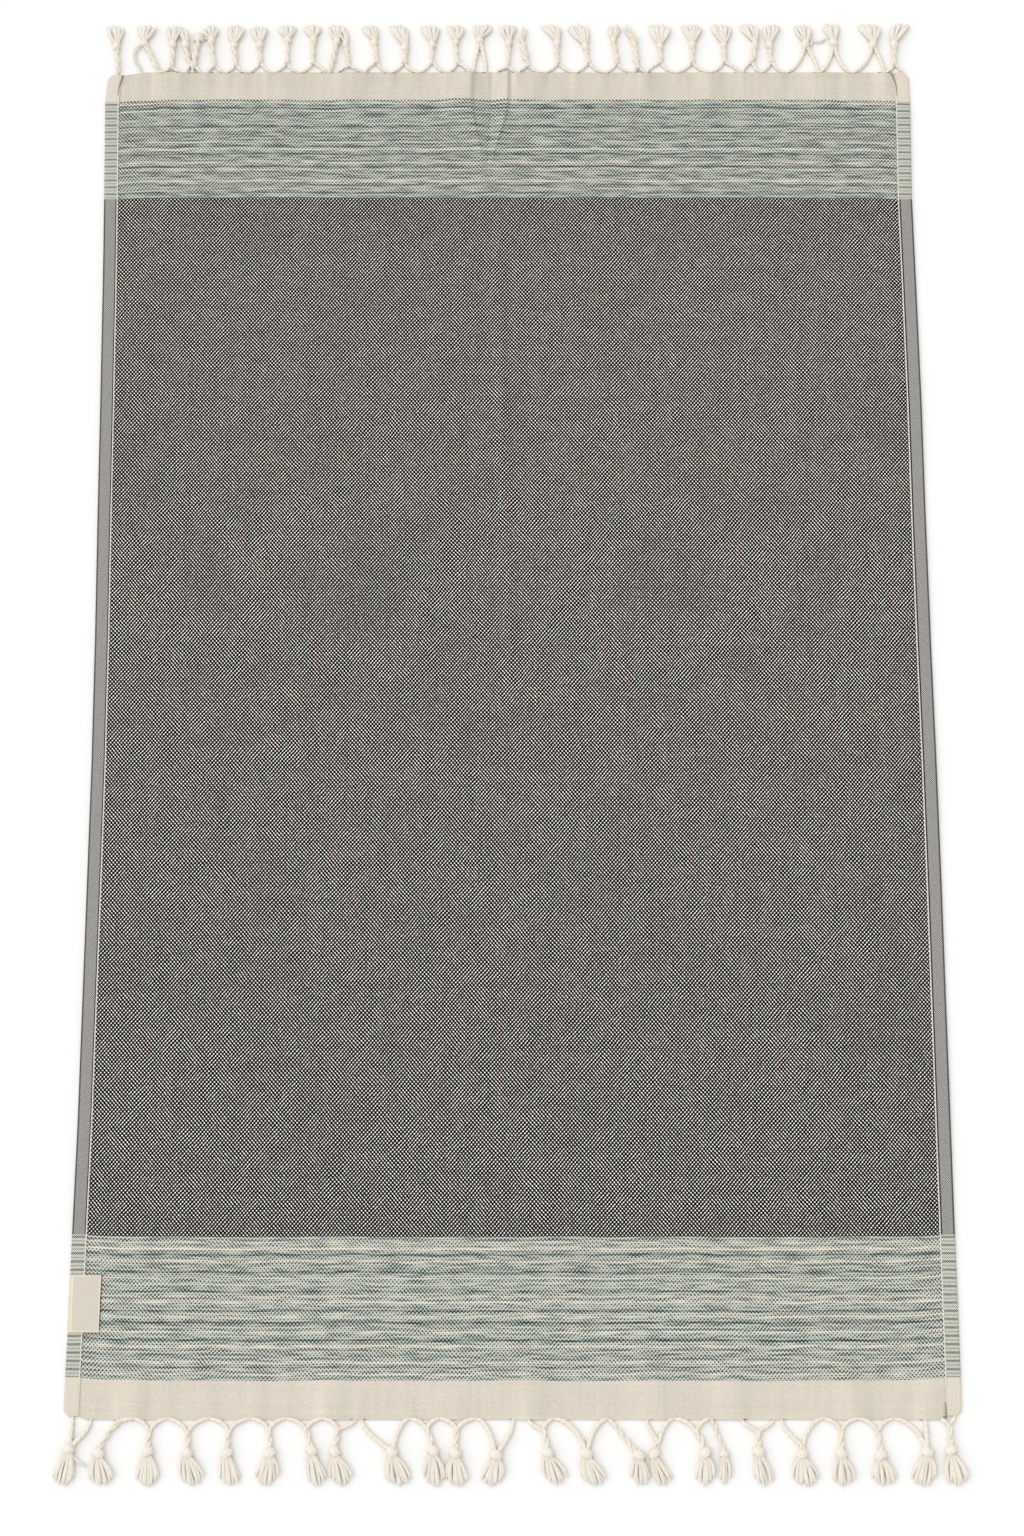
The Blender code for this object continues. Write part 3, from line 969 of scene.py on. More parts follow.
        colour = place.stripes(heading, bands[0], body, bands[1])
        surface.set("Base Color", surface.vector("SCALE", colour, scale=shade))
        surface.matt(0.95, 0.02, 0.06)
        dotted = place.along.above(LOWER_BAND[0]) * (1 - place.along.above(UPPER_BAND[1]))
        surface.bump(dots * 0.5 * dotted + twill * 0.2 * (1 - dotted) + slub * 0.3, 0.35, 0.5)
        return surface.material


@dataclass(frozen=True)
class ReverseWeave:
    """The cloth's reverse, which shows on the folded hems and underneath: finer, greyer, with plainer stripes."""

    dot_across: float = 2.25
    dot_along: float = 2.7
    row: float = 9.3              # from one teal line of a band to the next
    dark: Colour = (0.105, 0.100, 0.098)
    pale: Colour = (0.58, 0.56, 0.52)
    fold: Colour = (0.020, 0.019, 0.018)
    teal: Colour = (0.025, 0.070, 0.080)
    cream: Colour = (0.68, 0.655, 0.56)
    grey: Colour = (0.20, 0.215, 0.200)
    heading: Colour = (0.735, 0.668, 0.568)

    def material(self) -> bpy.types.Material:
        """Builds it.

        Returns:
            The material.
        """
        surface = Surface("woven_reverse")
        place = WovenPlace.of(surface)
        drift = surface.noise(place.where, 1 / 20, 1.0)
        rise = place.along * (FULL_TURN / self.dot_along)
        run = place.across * (FULL_TURN / self.dot_across)
        zone = surface.noise(place.where, 1 / 16, 1.0).soft_step(0.40, 0.60)
        up = (rise + run + drift * 9.0).cos()
        down = (rise - run - drift * 9.0).cos()
        dots = up * zone + down * (1 - zone)
        slub = place.patches(2.0, 2.0)
        body = surface.mix((dots + (slub - 0.5) * 1.2).soft_step(-0.9, 1.1), self.dark, self.pale)

        # A near black line just outside the seam, painted shade where the seam draws the hem down, and a dark rim at
        # the fold.
        beyond = abs(place.across)
        line = 1 - abs(beyond - HEM_DARK_LINE).soft_step(0.45, 1.15)
        rim = 1 - abs(beyond - HEM_RIM).soft_step(0.4, 1.3)
        body = surface.mix(line.most(rim * 0.75), body, self.fold)

        wave = (place.along * (FULL_TURN / self.row)).cos()
        strong = wave.soft_step(0.30, 0.85)
        weak = (-1 * wave).soft_step(0.75, 0.98)
        checks = (up + down) * 0.5
        cover = (checks + 0.50 - strong * 0.75 - weak * 0.55 + (slub - 0.5) * 0.8).soft_step(-0.4, 0.4)
        band = surface.mix(cover, surface.mix(strong.most(weak * 0.6), self.grey, self.teal), self.cream)

        stitched = line * 0.10 * (place.along * (FULL_TURN / 3.1)).sin().soft_step(-0.2, 0.4)
        heading = surface.vector("SCALE", self.heading, scale=(0.90 + 0.2 * slub) * (1 - stitched))
        surface.set("Base Color", place.stripes(heading, band, body, band))
        surface.matt(0.95, 0.02, 0.06)
        surface.bump(dots * 0.4 + slub * 0.5, 0.25, 0.5)
        return surface.material


@dataclass(frozen=True)
class CottonYarn:
    """Cream cotton yarn, with painted light and shade: pale where it is open to the light, warm and darker between its
    strands, near black in painted shadows.
    """

    name: str = "cotton_yarn"
    open: Colour = (0.870, 0.812, 0.715)
    light: Colour = (0.895, 0.855, 0.782)
    # Painted shade: the warm colour between and under the strands; the near black one after it is painted shadow.
    deep: Colour = (0.810, 0.650, 0.455)
    shadow_black: Colour = (0.120, 0.080, 0.045)
    fibre: float = 0.55           # between the fibres that show

    def material(self) -> bpy.types.Material:
        """Builds it.

        Returns:
            The material.
        """
        surface = Surface(self.name)
        place = surface.object_place()
        tuft = surface.noise(place, 1 / 6.0, 2.0)
        fibre = surface.noise(place, 1 / self.fibre, 2.0)
        # The painted light that the strands carry: below 0.75 the yarn turns towards the warm shade, below -0.9 towards
        # the near black of painted shadow.
        bare = surface.node("ShaderNodeAttribute", {"attribute_name": "bare"}, {}, out="Fac")
        colour = surface.mix((tuft * 0.6 + fibre * 0.4).soft_step(0.3, 0.7), self.open, self.light)
        colour = surface.mix(bare.soft_step(-0.15, 0.75), self.deep, colour)
        colour = surface.mix(bare.soft_step(-1.6, -0.9), self.shadow_black, colour)
        surface.set("Base Color", colour)
        surface.matt(0.95, 0.3)
        surface.bump(fibre, 0.25, 0.5)
        return surface.material


@dataclass(frozen=True)
class PlainCotton:
    """A plain woven or spun cotton in one tone: the tag's tape and the sewing threads."""

    name: str
    tone: Colour
    shade: Colour
    thread: float                 # between its threads

    def material(self) -> bpy.types.Material:
        """Builds it.

        Returns:
            The material.
        """
        surface = Surface(self.name)
        place = surface.object_place()
        split = surface.node("ShaderNodeSeparateXYZ", {}, {0: place})
        across = (split * (FULL_TURN / self.thread)).sin()
        along = (split.other("Y") * (FULL_TURN / self.thread)).sin()
        uneven = surface.noise(place, 1 / 3.0, 2.0)
        weave = across * along * 0.5 + 0.5
        colour = surface.mix((weave * 0.35 + uneven * 0.9 - 0.1).soft_step(0.1, 0.9), self.shade, self.tone)
        surface.set("Base Color", colour)
        surface.matt(0.9, 0.15)
        surface.bump(weave * 0.6 + uneven * 0.4, 0.12, 0.5)
        return surface.material


STITCH_WHITE = PlainCotton("hem_thread", (0.86, 0.83, 0.77), (0.66, 0.63, 0.57), 2.2)
TAG_TAPE = PlainCotton("tag_tape", (0.705, 0.645, 0.550), (0.640, 0.577, 0.480), 1.1)
TAG_EDGE = PlainCotton("tag_edge", (0.86, 0.785, 0.68), (0.79, 0.71, 0.60), 1.1)
TAG_SIDE = PlainCotton("tag_side", (0.79, 0.715, 0.565), (0.70, 0.61, 0.45), 1.1)
# A painted shadow: the near black of the tag's curled-down end stands for the shadow under its free end.
TAG_SHADE = PlainCotton("tag_painted_shadow", (0.030, 0.028, 0.026), (0.015, 0.014, 0.013), 1.1)


# ---- The cloth ----

LENGTH = 1640.0
WIDTH = 1000.0
PLEAT_FOOT = -31.0        # where across the towel the pleat runs out; below, its heights across its upper end
PLEAT = ((-92, 0.0), (-50.5, 1.0), (-48, 0.72), (-25, 0.0), (-6, 1.0), (-2, 0.5), (18, 0.0))
CLOSER_ROWS = ((6.0, 1.3), (36.0, 2.6), (120.0, 4.2))     # how near an end, and how far apart the rows are there
HEM_WIDE = 17.2
HEM_SEAM = 16.4           # from the cloth's edge to its seam
# The dark line of painted shade beside a hem's seam, and the dark rim at its fold, on the unfolded cloth.
HEM_DARK_LINE = WIDTH / 2 + 14.6
HEM_RIM = WIDTH / 2 + 0.6


class Station(NamedTuple):
    """A column of the cloth's mesh: how far in from the edge, its height, and its place on the unfolded cloth."""

    across: float
    up: float
    flat: float


@dataclass
class Cloth:
    """The woven cloth, its side hems folded over and sewn down."""

    place: Place
    over: Span = (5.6, 0.8)       # how far its lower and upper ends reach over the strips of the tassels
    corner: float = 9.0           # radius of its corners
    drop: Span = (4.6, 1.4)       # how far its upper left and right corners are drawn in
    raised: Span = (4.2, 4.6)     # and its lower ones
    layer: float = 1.35           # thickness of one layer
    base_up: float = 0.70         # middle of the lower layer
    hem_up: float = 2.07          # middle of the folded one
    pull_in: float = 4.5          # how far a hem has drawn the ends of the rows towards the towel's middle
    pull_wide: float = 30.0       # how soon that fades across
    pull_long: float = 420.0      # and along
    gather_deep: Span = (0.2, 0.5)    # the ridges at the roots of the lower and upper tassels
    gather_wide: float = 5.0
    gather_long: float = 38.0
    ripple_high: float = 1.3      # where the twisted warp pulls the ends
    ripple_long: float = 95.0
    ripple_waves: Span = (74.0, 113.0)
    pleat_high: float = 2.2       # the flattened pleat in the middle of the upper end
    pleat_from: float = 1495.0
    steepest: float = 0.6         # the slope that is stored for the material goes up to this, either way
    column: float = 7.0
    pleat_column: float = 1.5
    pleat_span: Span = (-66.0, 18.0)
    hem_columns: float = 44.0     # how far in the closer columns of a hem go
    row: float = 8.0
    waves: list[tuple[float, float, float, float]] = field(default_factory=list)

    def __post_init__(self) -> None:
        """Draws the slow waves of a cloth that has been folded and laid out."""
        draw = np.random.default_rng(11)
        for long, high in ((310, 0.16), (230, 0.14), (170, 0.12), (120, 0.10), (90, 0.07), (62, 0.05)):
            turn = draw.uniform(0, FULL_TURN)
            phase = draw.uniform(0, FULL_TURN)
            self.waves.append((math.cos(turn) / long, math.sin(turn) / long, phase, high))

    def stations(self) -> list[Station]:
        """The columns of the mesh, from the left hem's inner end round its fold and across to the right one's.

        Returns:
            The columns, in order.
        """
        radius = (self.hem_up - self.base_up) / 2
        centre_in, centre_up = radius + self.layer / 2, self.base_up + radius
        half = WIDTH / 2
        hem = [HEM_WIDE, HEM_SEAM, 15.4, 14.0, 12.0, 9.5, 7.0, 4.5, 2.8]
        arc = [math.radians(a) for a in (90, 45, 0, -45, -90)]
        fold = [(centre_in - radius * math.cos(a), centre_up + radius * math.sin(a)) for a in arc]
        inner = [3.0, 5.5, 8.5, 11.5, 14.5, HEM_SEAM, HEM_WIDE, 18.2, 20, 23, 27, 32, 38]
        inset = [(i, self.hem_up) for i in hem] + fold + [(i, self.base_up) for i in inner]
        last, (pleat_start, pleat_end) = half - self.hem_columns, self.pleat_span
        middle = (evenly(-last, pleat_start, self.column) + evenly(pleat_start, pleat_end, self.pleat_column)
                  + evenly(pleat_end, last, self.column) + [last])
        left = [(-half + i, up) for i, up in inset]
        right = [(half - i, up) for i, up in reversed(inset)]
        columns = left + [(x, self.base_up) for x in middle] + right
        flats = [0.0]
        for a, b in zip(columns, columns[1:]):
            flats.append(flats[-1] + math.dist(a, b))
        middle_flat = flats[-1] / 2
        return [Station(x, up, flat - middle_flat) for (x, up), flat in zip(columns, flats)]

    def rows(self, start: float, end: float) -> list[float]:
        """The rows of a stretch of the cloth, closer together near the fringed edges.

        Args:
            start: its lower end.
            end: its upper end.

        Returns:
            Their places along the cloth.
        """
        marks = [mark for near, _ in CLOSER_ROWS for mark in (near, LENGTH - near)]
        places = sorted({start, end, *(m for m in marks if start < m < end)})
        rows: list[float] = []
        for a, b in zip(places, places[1:]):
            rows += evenly(a, b, next((row for near, row in CLOSER_ROWS if min(a, LENGTH - b) < near), self.row))
        return rows + [end]

    def crease_lift(self, crease: Crease, across: np.ndarray, along: np.ndarray) -> np.ndarray:
        """How high a crease stands.

        Args:
            crease: the crease.
            across: places across the cloth.
            along: the same places along it.

        Returns:
            Its height at each place.
        """
        start = np.array((crease.across_from, crease.along_from))
        line = np.array((crease.across_to, crease.along_to)) - start
        long = np.linalg.norm(line)
        offset_x, offset_y = across - start[0], along - start[1]
        share = (offset_x * line[0] + offset_y * line[1]) / long**2
        beside = np.abs(offset_x * line[1] - offset_y * line[0]) / long
        ends = smooth(0.0, 0.25, share) * (1 - smooth(0.75, 1.0, share))
        return crease.high * ends * (1 - smooth(0.0, crease.wide, beside))

    def pleat_lift(self, across: np.ndarray, along: np.ndarray) -> np.ndarray:
        """The flattened pleat: two ridges that run together down the cloth, with a shallow trough between them.

        Args:
            across: places across the cloth.
            along: the same places along it.

        Returns:
            Its height at each place.
        """
        share = np.clip((along - self.pleat_from) / (LENGTH - self.pleat_from), 0, 1)
        spread = (across - PLEAT_FOOT) / (0.15 + 0.85 * smooth(0, 0.78, share)) + PLEAT_FOOT
        shape = np.interp(spread, *zip(*PLEAT))
        return self.pleat_high * smooth(0.0, 0.6, share) * shape

    def lift(self, across: np.ndarray, along: np.ndarray) -> np.ndarray:
        """How far the cloth's underside is off the floor.

        Args:
            across: places across the cloth.
            along: the same places along it.

        Returns:
            Its height at each place.
        """
        edge = np.minimum(along, LENGTH - along)
        beat = sum(np.sin(FULL_TURN * across / wave) for wave in self.ripple_waves) / len(self.ripple_waves)
        ripple = self.ripple_high * (1 - smooth(0, self.ripple_long, edge)) * np.maximum(0, beat)
        folds = np.maximum.reduce([self.crease_lift(c, across, along) for c in CREASES]
                                  + [self.pleat_lift(across, along)])
        slow = sum(high * (1 + np.sin(FULL_TURN * (across * kx + along * ky) + phase))
                   for kx, ky, phase, high in self.waves)
        return ripple + folds + slow * smooth(0, 60, edge)

    def gathers(self, across: np.ndarray, along: np.ndarray) -> np.ndarray:
        """The ridges that run into the cloth from between the roots of the tassels.

        Args:
            across: places across the cloth.
            along: the same places along it.

        Returns:
            Their height at each place.
        """
        total = np.zeros(np.shape(across))
        for tassels, edge, deep in zip((BOTTOM, TOP), (along, LENGTH - along), self.gather_deep):
            fade = deep * (1 - smooth(0, self.gather_long, edge))
            for root in sorted({round(r / 6) * 6 for t in tassels for r in (t.left, t.right)}):
                total += fade * np.exp(-(((across - root) / self.gather_wide) ** 2))
        return total

    def drawn(self, across: np.ndarray | float, along: np.ndarray | float) -> np.ndarray | float:
        """How far along the cloth its places lie, with its corners drawn in a little.

        Args:
            across: places across the cloth.
            along: the same places along it.

        Returns:
            Where each of them lies along the towel.
        """
        inset = WIDTH / 2 - np.abs(across)
        upper = np.where(np.less(across, 0), *self.drop) * (1 - smooth(12, 52, inset))
        lower = np.where(np.less(across, 0), *self.raised) * (1 - smooth(14, 28, inset))
        lower = lower * (1 - smooth(0, LOWER_BAND[0] - 4, along))
        return along + lower - upper * smooth(UPPER_BAND[1] + 4, LENGTH, along)

    def top(self, across: float, along: float) -> float:
        """How high the face of the cloth's single layer stands at a place of it."""
        x, y = np.array([across]), np.array([along])
        return float((self.lift(x, y) + self.gathers(x, y))[0]) + self.base_up + self.layer / 2

    def hem_lift(self, inset: np.ndarray, along: np.ndarray) -> np.ndarray:
        """How a hem's folded layer rises and dips: drawn down along its seam, puckered, and open at its ends.

        Args:
            inset: how far in from the side edge the places are.
            along: how far along the cloth they are.

        Returns:
            How much higher than a flat hem it is at each place.
        """
        seam = np.exp(-(((inset - HEM_SEAM) / 1.1) ** 2))
        pucker = np.sin(FULL_TURN * along / 8.3) + 0.7 * np.sin(FULL_TURN * along / 13.7 + 1.0)
        crown = smooth(1.0, 5.0, inset) * (1 - smooth(9.0, 16.0, inset))
        ends = 1 - smooth(0, 16, np.minimum(along, LENGTH - along))
        return -0.30 * seam + 0.10 * pucker * crown + 0.25 * ends * smooth(6, HEM_WIDE, inset)

    def loom_along(self, inset: np.ndarray, along: np.ndarray, lifted: np.ndarray) -> np.ndarray:
        """Where on the loom a point was, as the hems have drawn the rows and the folds have bent them.

        Args:
            inset: how far in from the side edge the places are.
            along: how far along the cloth they are.
            lifted: how far above the mean they are.

        Returns:
            How far along the loom each place was.
        """
        near = np.exp(-np.maximum(0, inset - HEM_WIDE) / self.pull_wide)
        towards = np.clip(1 - along / self.pull_long, 0, 1) - np.clip(1 - (LENGTH - along) / self.pull_long, 0, 1)
        edge = smooth(0, 30, np.minimum(along, LENGTH - along))
        sway = 0.5 * np.sin(FULL_TURN * (inset / 190 + along / 900)) + 0.35 * np.sin(inset / 17 + along / 45)
        return along - self.pull_in * near * towards * edge - lifted * 0.55 + 0.6 * sway * edge

    def section(self, name: str, start: float, end: float,
                materials: Sequence[bpy.types.Material]) -> bpy.types.Object:
        """A stretch of the cloth, both hems included.

        Args:
            name: the piece's name.
            start: its lower end along the cloth.
            end: its upper end.
            materials: of the face and the reverse.

        Returns:
            The closed sheet, in its place.
        """
        stations, rows = self.stations(), self.rows(start, end)
        nominal, along = np.meshgrid([s.across for s in stations], rows)
        up, _ = np.meshgrid([s.up for s in stations], rows)
        flat, _ = np.meshgrid([s.flat for s in stations], rows)
        left, right = side_edges(along)
        across = left + (right - left) * (nominal / WIDTH + 0.5)
        drawn = self.drawn(nominal, along)
        inset = WIDTH / 2 - np.abs(nominal)
        from_end = np.minimum(along + self.over[0], LENGTH - along + self.over[1])
        round_in = self.corner - np.sqrt(self.corner**2 - np.clip(self.corner - from_end, 0, self.corner - 0.2) ** 2)
        across -= np.sign(nominal) * round_in * np.clip(1 - inset / HEM_WIDE, 0, 1)
        lifted = self.lift(across, along)
        folded = smooth(self.base_up, self.hem_up, up)
        up = up + lifted + self.gathers(across, along) + folded * self.hem_lift(inset, along)
        loom = self.loom_along(inset, along, lifted - np.mean(lifted))
        points = [self.place.point(*p) for p in zip(across.flat, drawn.flat, up.flat)]
        mesh = grid(name, points, len(stations))
        corners = np.empty(len(mesh.loops), np.int32)
        mesh.loops.foreach_get("vertex_index", corners)
        flat_map = np.stack((flat.ravel(), loom.ravel()), axis=1)[corners] * MM
        # The slope across the cloth, stored for the face's painted light and shade.
        right_up, left_up = (self.lift(across + step, along) + self.gathers(across + step, along)
                             for step in (0.5, -0.5))
        slope = np.clip(right_up - left_up, -self.steepest, self.steepest)
        mesh.attributes.new("slope", "FLOAT", "POINT").data.foreach_set("value", slope.ravel())
        mesh.uv_layers.new(name=LOOM_MAP).data.foreach_set("uv", flat_map.ravel())
        return solidified(mesh, self.layer, materials)

    def hem_top(self, left_side: bool, inset: float, along: float) -> Vector:
        """A point on top of a hem, in metres.

        Args:
            left_side: whether it is the left hem.
            inset: how far in from the edge.
            along: how far along the cloth.

        Returns:
            The point in the frame.
        """
        left, right = side_edges(along)
        across = float(left + inset if left_side else right - inset)
        x, y = np.array([across]), np.array([along])
        up = self.lift(x, y) + self.gathers(x, y) + self.hem_lift(np.array([inset]), y)
        return self.place.point(across, along, float(up[0]) + self.hem_up + self.layer / 2)


# ---- Sewing ----


def stitch_recipe() -> Recipe:
    """A row of thick stitches along lines: one rounded bar at each step.

    Returns:
        The recipe, with the inputs Step, Wide and Material.
    """
    recipe = Recipe("stitches")
    step, wide = recipe.number("Step"), recipe.number("Wide")
    material = recipe.input("Material", "NodeSocketMaterial")
    steps = recipe.steps(recipe.lines(), step)
    tangent = recipe.node("GeometryNodeInputTangent")
    turned = recipe.node("FunctionNodeAlignRotationToVector", {"axis": "X"}, {"Vector": tangent})
    bar = recipe.node("GeometryNodeMeshUVSphere", {}, {"Segments": 6, "Rings": 5, "Radius": 0.5})
    shape = recipe.xyz(step * 1.4, wide, wide * 0.75)
    row = recipe.node("GeometryNodeInstanceOnPoints", {},
                      {"Points": steps, "Instance": bar, "Rotation": turned, "Scale": shape})
    return recipe.finish(row, material)


@dataclass
class HemSeam:
    """The lockstitch that holds a hem down."""

    cloth: Cloth
    recipe: Recipe
    left_side: bool
    inset: float
    stitch: float = 3.1
    thread: float = 1.9
    point: float = 6.0            # from one point of its line to the next

    def build(self, name: str, material: bpy.types.Material) -> bpy.types.Object:
        """Sews it, from one end of the hem to the other.

        Args:
            name: the piece's name.
            material: of the thread.

        Returns:
            The seam, in its place.
        """
        start, end = LOWER_BAND[0] - 4.0, UPPER_BAND[1] + 6.0
        places = [*evenly(start, end, self.point), end]
        points = [self.cloth.hem_top(self.left_side, self.inset, y) for y in places]
        guides = guide_lines(name, [Line.seam(points)])
        return self.recipe.run(guides, name, Step=self.stitch * MM, Wide=self.thread * MM, Material=material)


# ---- Tassels ----


FLOOR_CLEAR = 0.63        # a strand's middle stays this share of its width off the floor
STEM_CLEAR = 0.62         # and a stem's
STEM_STRAND = 0.57        # the width of each of a stem's two strands, as a share of the stem's
YARN_STEP = 1.7 * MM
SINGLE = {"Plies": 1, "Lay": 0.0, "Pitch": 1.0, "Step": YARN_STEP}      # a strand that isn't plied
# Painted shadow: the near black of the shadows laid in the hems' slits.
SLIT_DARK = -1.4          # less than no light: the yarn's hollow colour
SLITS = (
    ((-482.4, 1636.0), (-485.0, 1628.0), (-487.2, 1619.0), (-488.2, 1609.0)),
    ((470.3, 1639.0), (473.2, 1632.0), (475.6, 1624.5), (476.6, 1616.0), (476.6, 1607.0)),
    ((483.6, -4.5), (484.2, 2.0), (484.0, 8.0), (483.2, 14.0)),
)


def slit_shadow(cloth: Cloth, slit: Sequence[Span]) -> Line:
    """A painted shadow in the gap at the end of a hem.

    Args:
        cloth: the cloth.
        slit: its places (across, along) from its open end.

    Returns:
        The shadow as a thin dark strand on the hem.
    """
    course = walk(slit)
    over = cloth.hem_up - cloth.base_up + 0.25
    points = [cloth.place.point(x, y, cloth.top(x, y) + over) for x, y, _ in course]
    return Line(points, [blend(1.4, 0.5, share**0.8) for *_, share in course], [SLIT_DARK] * len(points))


PLY_THIN = 0.86           # how much of a ply's width its lay takes away
# Painted shade on plied yarn: in the grooves between its plies, and on its flanks that face away from the light above.
GROOVE_FROM = 0.52        # a ply darkens where it faces out from its yarn's middle less than this
GROOVE_DARK = 1.4         # how fast
GROOVE_MOST = -0.9        # and how far
FLANK_FROM = 0.75         # a strand's flank darkens where it faces up less than this
FLANK_DARK = 0.9          # how fast


def yarn_recipe() -> Recipe:
    """Plied yarn along lines: each ply winds round the line, with painted shade where it faces the others and on its
    flanks that face down.

    Returns:
        The recipe. Its inputs are Plies, Sides of a ply, Lay (how far out a ply lies), Pitch, Step and Material.
    """
    recipe = Recipe("plied_yarn")
    plies, sides = recipe.number("Plies", whole=True), recipe.number("Sides", whole=True)
    lay, pitch, step = recipe.number("Lay"), recipe.number("Pitch"), recipe.number("Step")
    material = recipe.input("Material", "NodeSocketMaterial")
    copies = recipe.copies(recipe.steps(recipe.lines(), step), plies)
    ply = recipe.store(copies, "ply", copies.other("Duplicate Index") / plies)
    run = recipe.node("GeometryNodeSplineParameter", out="Length")
    turn = (run / pitch + recipe.read("ply") + recipe.read("phase")) * FULL_TURN
    beside, over = recipe.beside_and_over()
    outwards = recipe.vector("ADD", recipe.vector("SCALE", beside, scale=turn.cos()),
                             recipe.vector("SCALE", over, scale=turn.sin()))
    ply = recipe.store(ply, "away", outwards, "FLOAT_VECTOR")
    half = recipe.read("wide") * 0.5
    away = recipe.read("away", "FLOAT_VECTOR")
    wound = recipe.moved(ply, recipe.vector("SCALE", away, scale=half * lay))
    tube = recipe.tube(wound, sides, half * (1 - lay * PLY_THIN))
    outside, upright = (recipe.vector("DOT_PRODUCT", recipe.node("GeometryNodeInputNormal"), way, out=1)
                        for way in (away, UPWARDS))
    # Painted shade, added to the strand's painted light.
    groove = ((outside - GROOVE_FROM).least(0.0) * GROOVE_DARK * lay.above(0.01)).most(GROOVE_MOST)
    flank = (upright - FLANK_FROM).least(0.0) * FLANK_DARK
    shaded = recipe.store(tube, "bare", recipe.read("lit") + groove + flank)
    return recipe.finish(shaded, material)


LOCK_START, LOCK_ARC = 0.22, 2.7          # radians, over which a lock's threads lie across its top
LOCK_UNEVEN = 1.3         # how far a thread may be off its place, in all, as a share of a thread's own part
THREAD_OUT, THREAD_LOOSE = 0.66, 0.26     # how far out in its lock a thread lies, and how much that varies
THREAD_TURN, THREAD_SWAY = 4.5, 0.32      # how it wanders towards its end
LOCK_FLAT = 0.8           # a lock's height, as a share of its width
# Painted light and shade on a lock's threads: lighter higher on the lock, darker low on its sides.
THREAD_SHADE, THREAD_DARK = 1.1, 0.6      # how much lighter it is higher on its lock, and how dark low on its sides
THREAD_TAPER = 0.2        # how much of its width a thread has lost at its tip


def brush_recipe() -> Recipe:
    """Loose threads along locks: fine threads over each, with painted shade down its sides, and ragged ends.

    Returns:
        The recipe. Its inputs are Threads for each lock, Seed, Wide, Ragged (the most that is cut off) and Material.
    """
    recipe = Recipe("loose_threads")
    threads, seed = recipe.number("Threads", whole=True), recipe.number("Seed", whole=True)
    wide, ragged = recipe.number("Wide"), recipe.number("Ragged")
    material = recipe.input("Material", "NodeSocketMaterial")
    copies = recipe.copies(recipe.lines(), threads)
    share = (copies.other("Duplicate Index") + 0.5) / threads
    numbered = recipe.store(copies, "share", share)
    index = recipe.node("GeometryNodeInputIndex")
    strand = recipe.per_strand(index, "INT")
    uneven = (recipe.chance(strand, seed, 1) - 0.5) * LOCK_UNEVEN / threads
    around = (recipe.read("share") + uneven) * LOCK_ARC + LOCK_START
    outside = THREAD_OUT + recipe.chance(strand, seed, 2) * THREAD_LOOSE
    run = recipe.node("GeometryNodeSplineParameter", out="Factor")
    wave = ((run * THREAD_TURN + recipe.chance(strand, seed, 3) * FULL_TURN).sin() * run) * THREAD_SWAY
    beside, over = recipe.beside_and_over()
    half = recipe.read("wide") * 0.5
    height = around.sin() * outside
    sideways = recipe.vector("SCALE", beside, scale=(around.cos() * outside + wave) * half)
    upwards = recipe.vector("SCALE", over, scale=height * half * LOCK_FLAT)
    spread = recipe.moved(numbered, recipe.vector("ADD", sideways, upwards))
    shaded = recipe.store(spread, "bare", height * THREAD_SHADE + recipe.read("lit") - THREAD_DARK)
    cut = recipe.node("GeometryNodeTrimCurve", {"mode": "FACTOR"},
                      {"Curve": shaded, 2: 0.0, 3: 1 - recipe.chance(strand, seed, 4) * ragged})
    fine = recipe.node("GeometryNodeResampleCurve", {"mode": "COUNT"}, {"Curve": cut, "Count": 8})
    along = recipe.node("GeometryNodeSplineParameter", out="Factor")
    return recipe.finish(recipe.tube(fine, 4, wide * (0.5 - along.power(3) * THREAD_TAPER)), material)


class Stray(NamedTuple):
    """A thin lock that has come away from its tassel: its course by (across, out), and its width."""

    course: tuple[Span, ...]
    wide: float


BOTTOM_STRAYS = (
    Stray(((-489, 42), (-482, 47.5), (-473, 53.5)), 4.0),
)
TOP_STRAYS = (
    Stray(((-459, 36), (-466, 31), (-470, 22), (-467, 10), (-459, -3)), 6.0),
    Stray(((-371, 37), (-376, 42), (-384, 44.5)), 3.6),
    Stray(((371, 33.5), (374, 40.5), (382, 38.5), (392, 43.5)), 3.0),
)


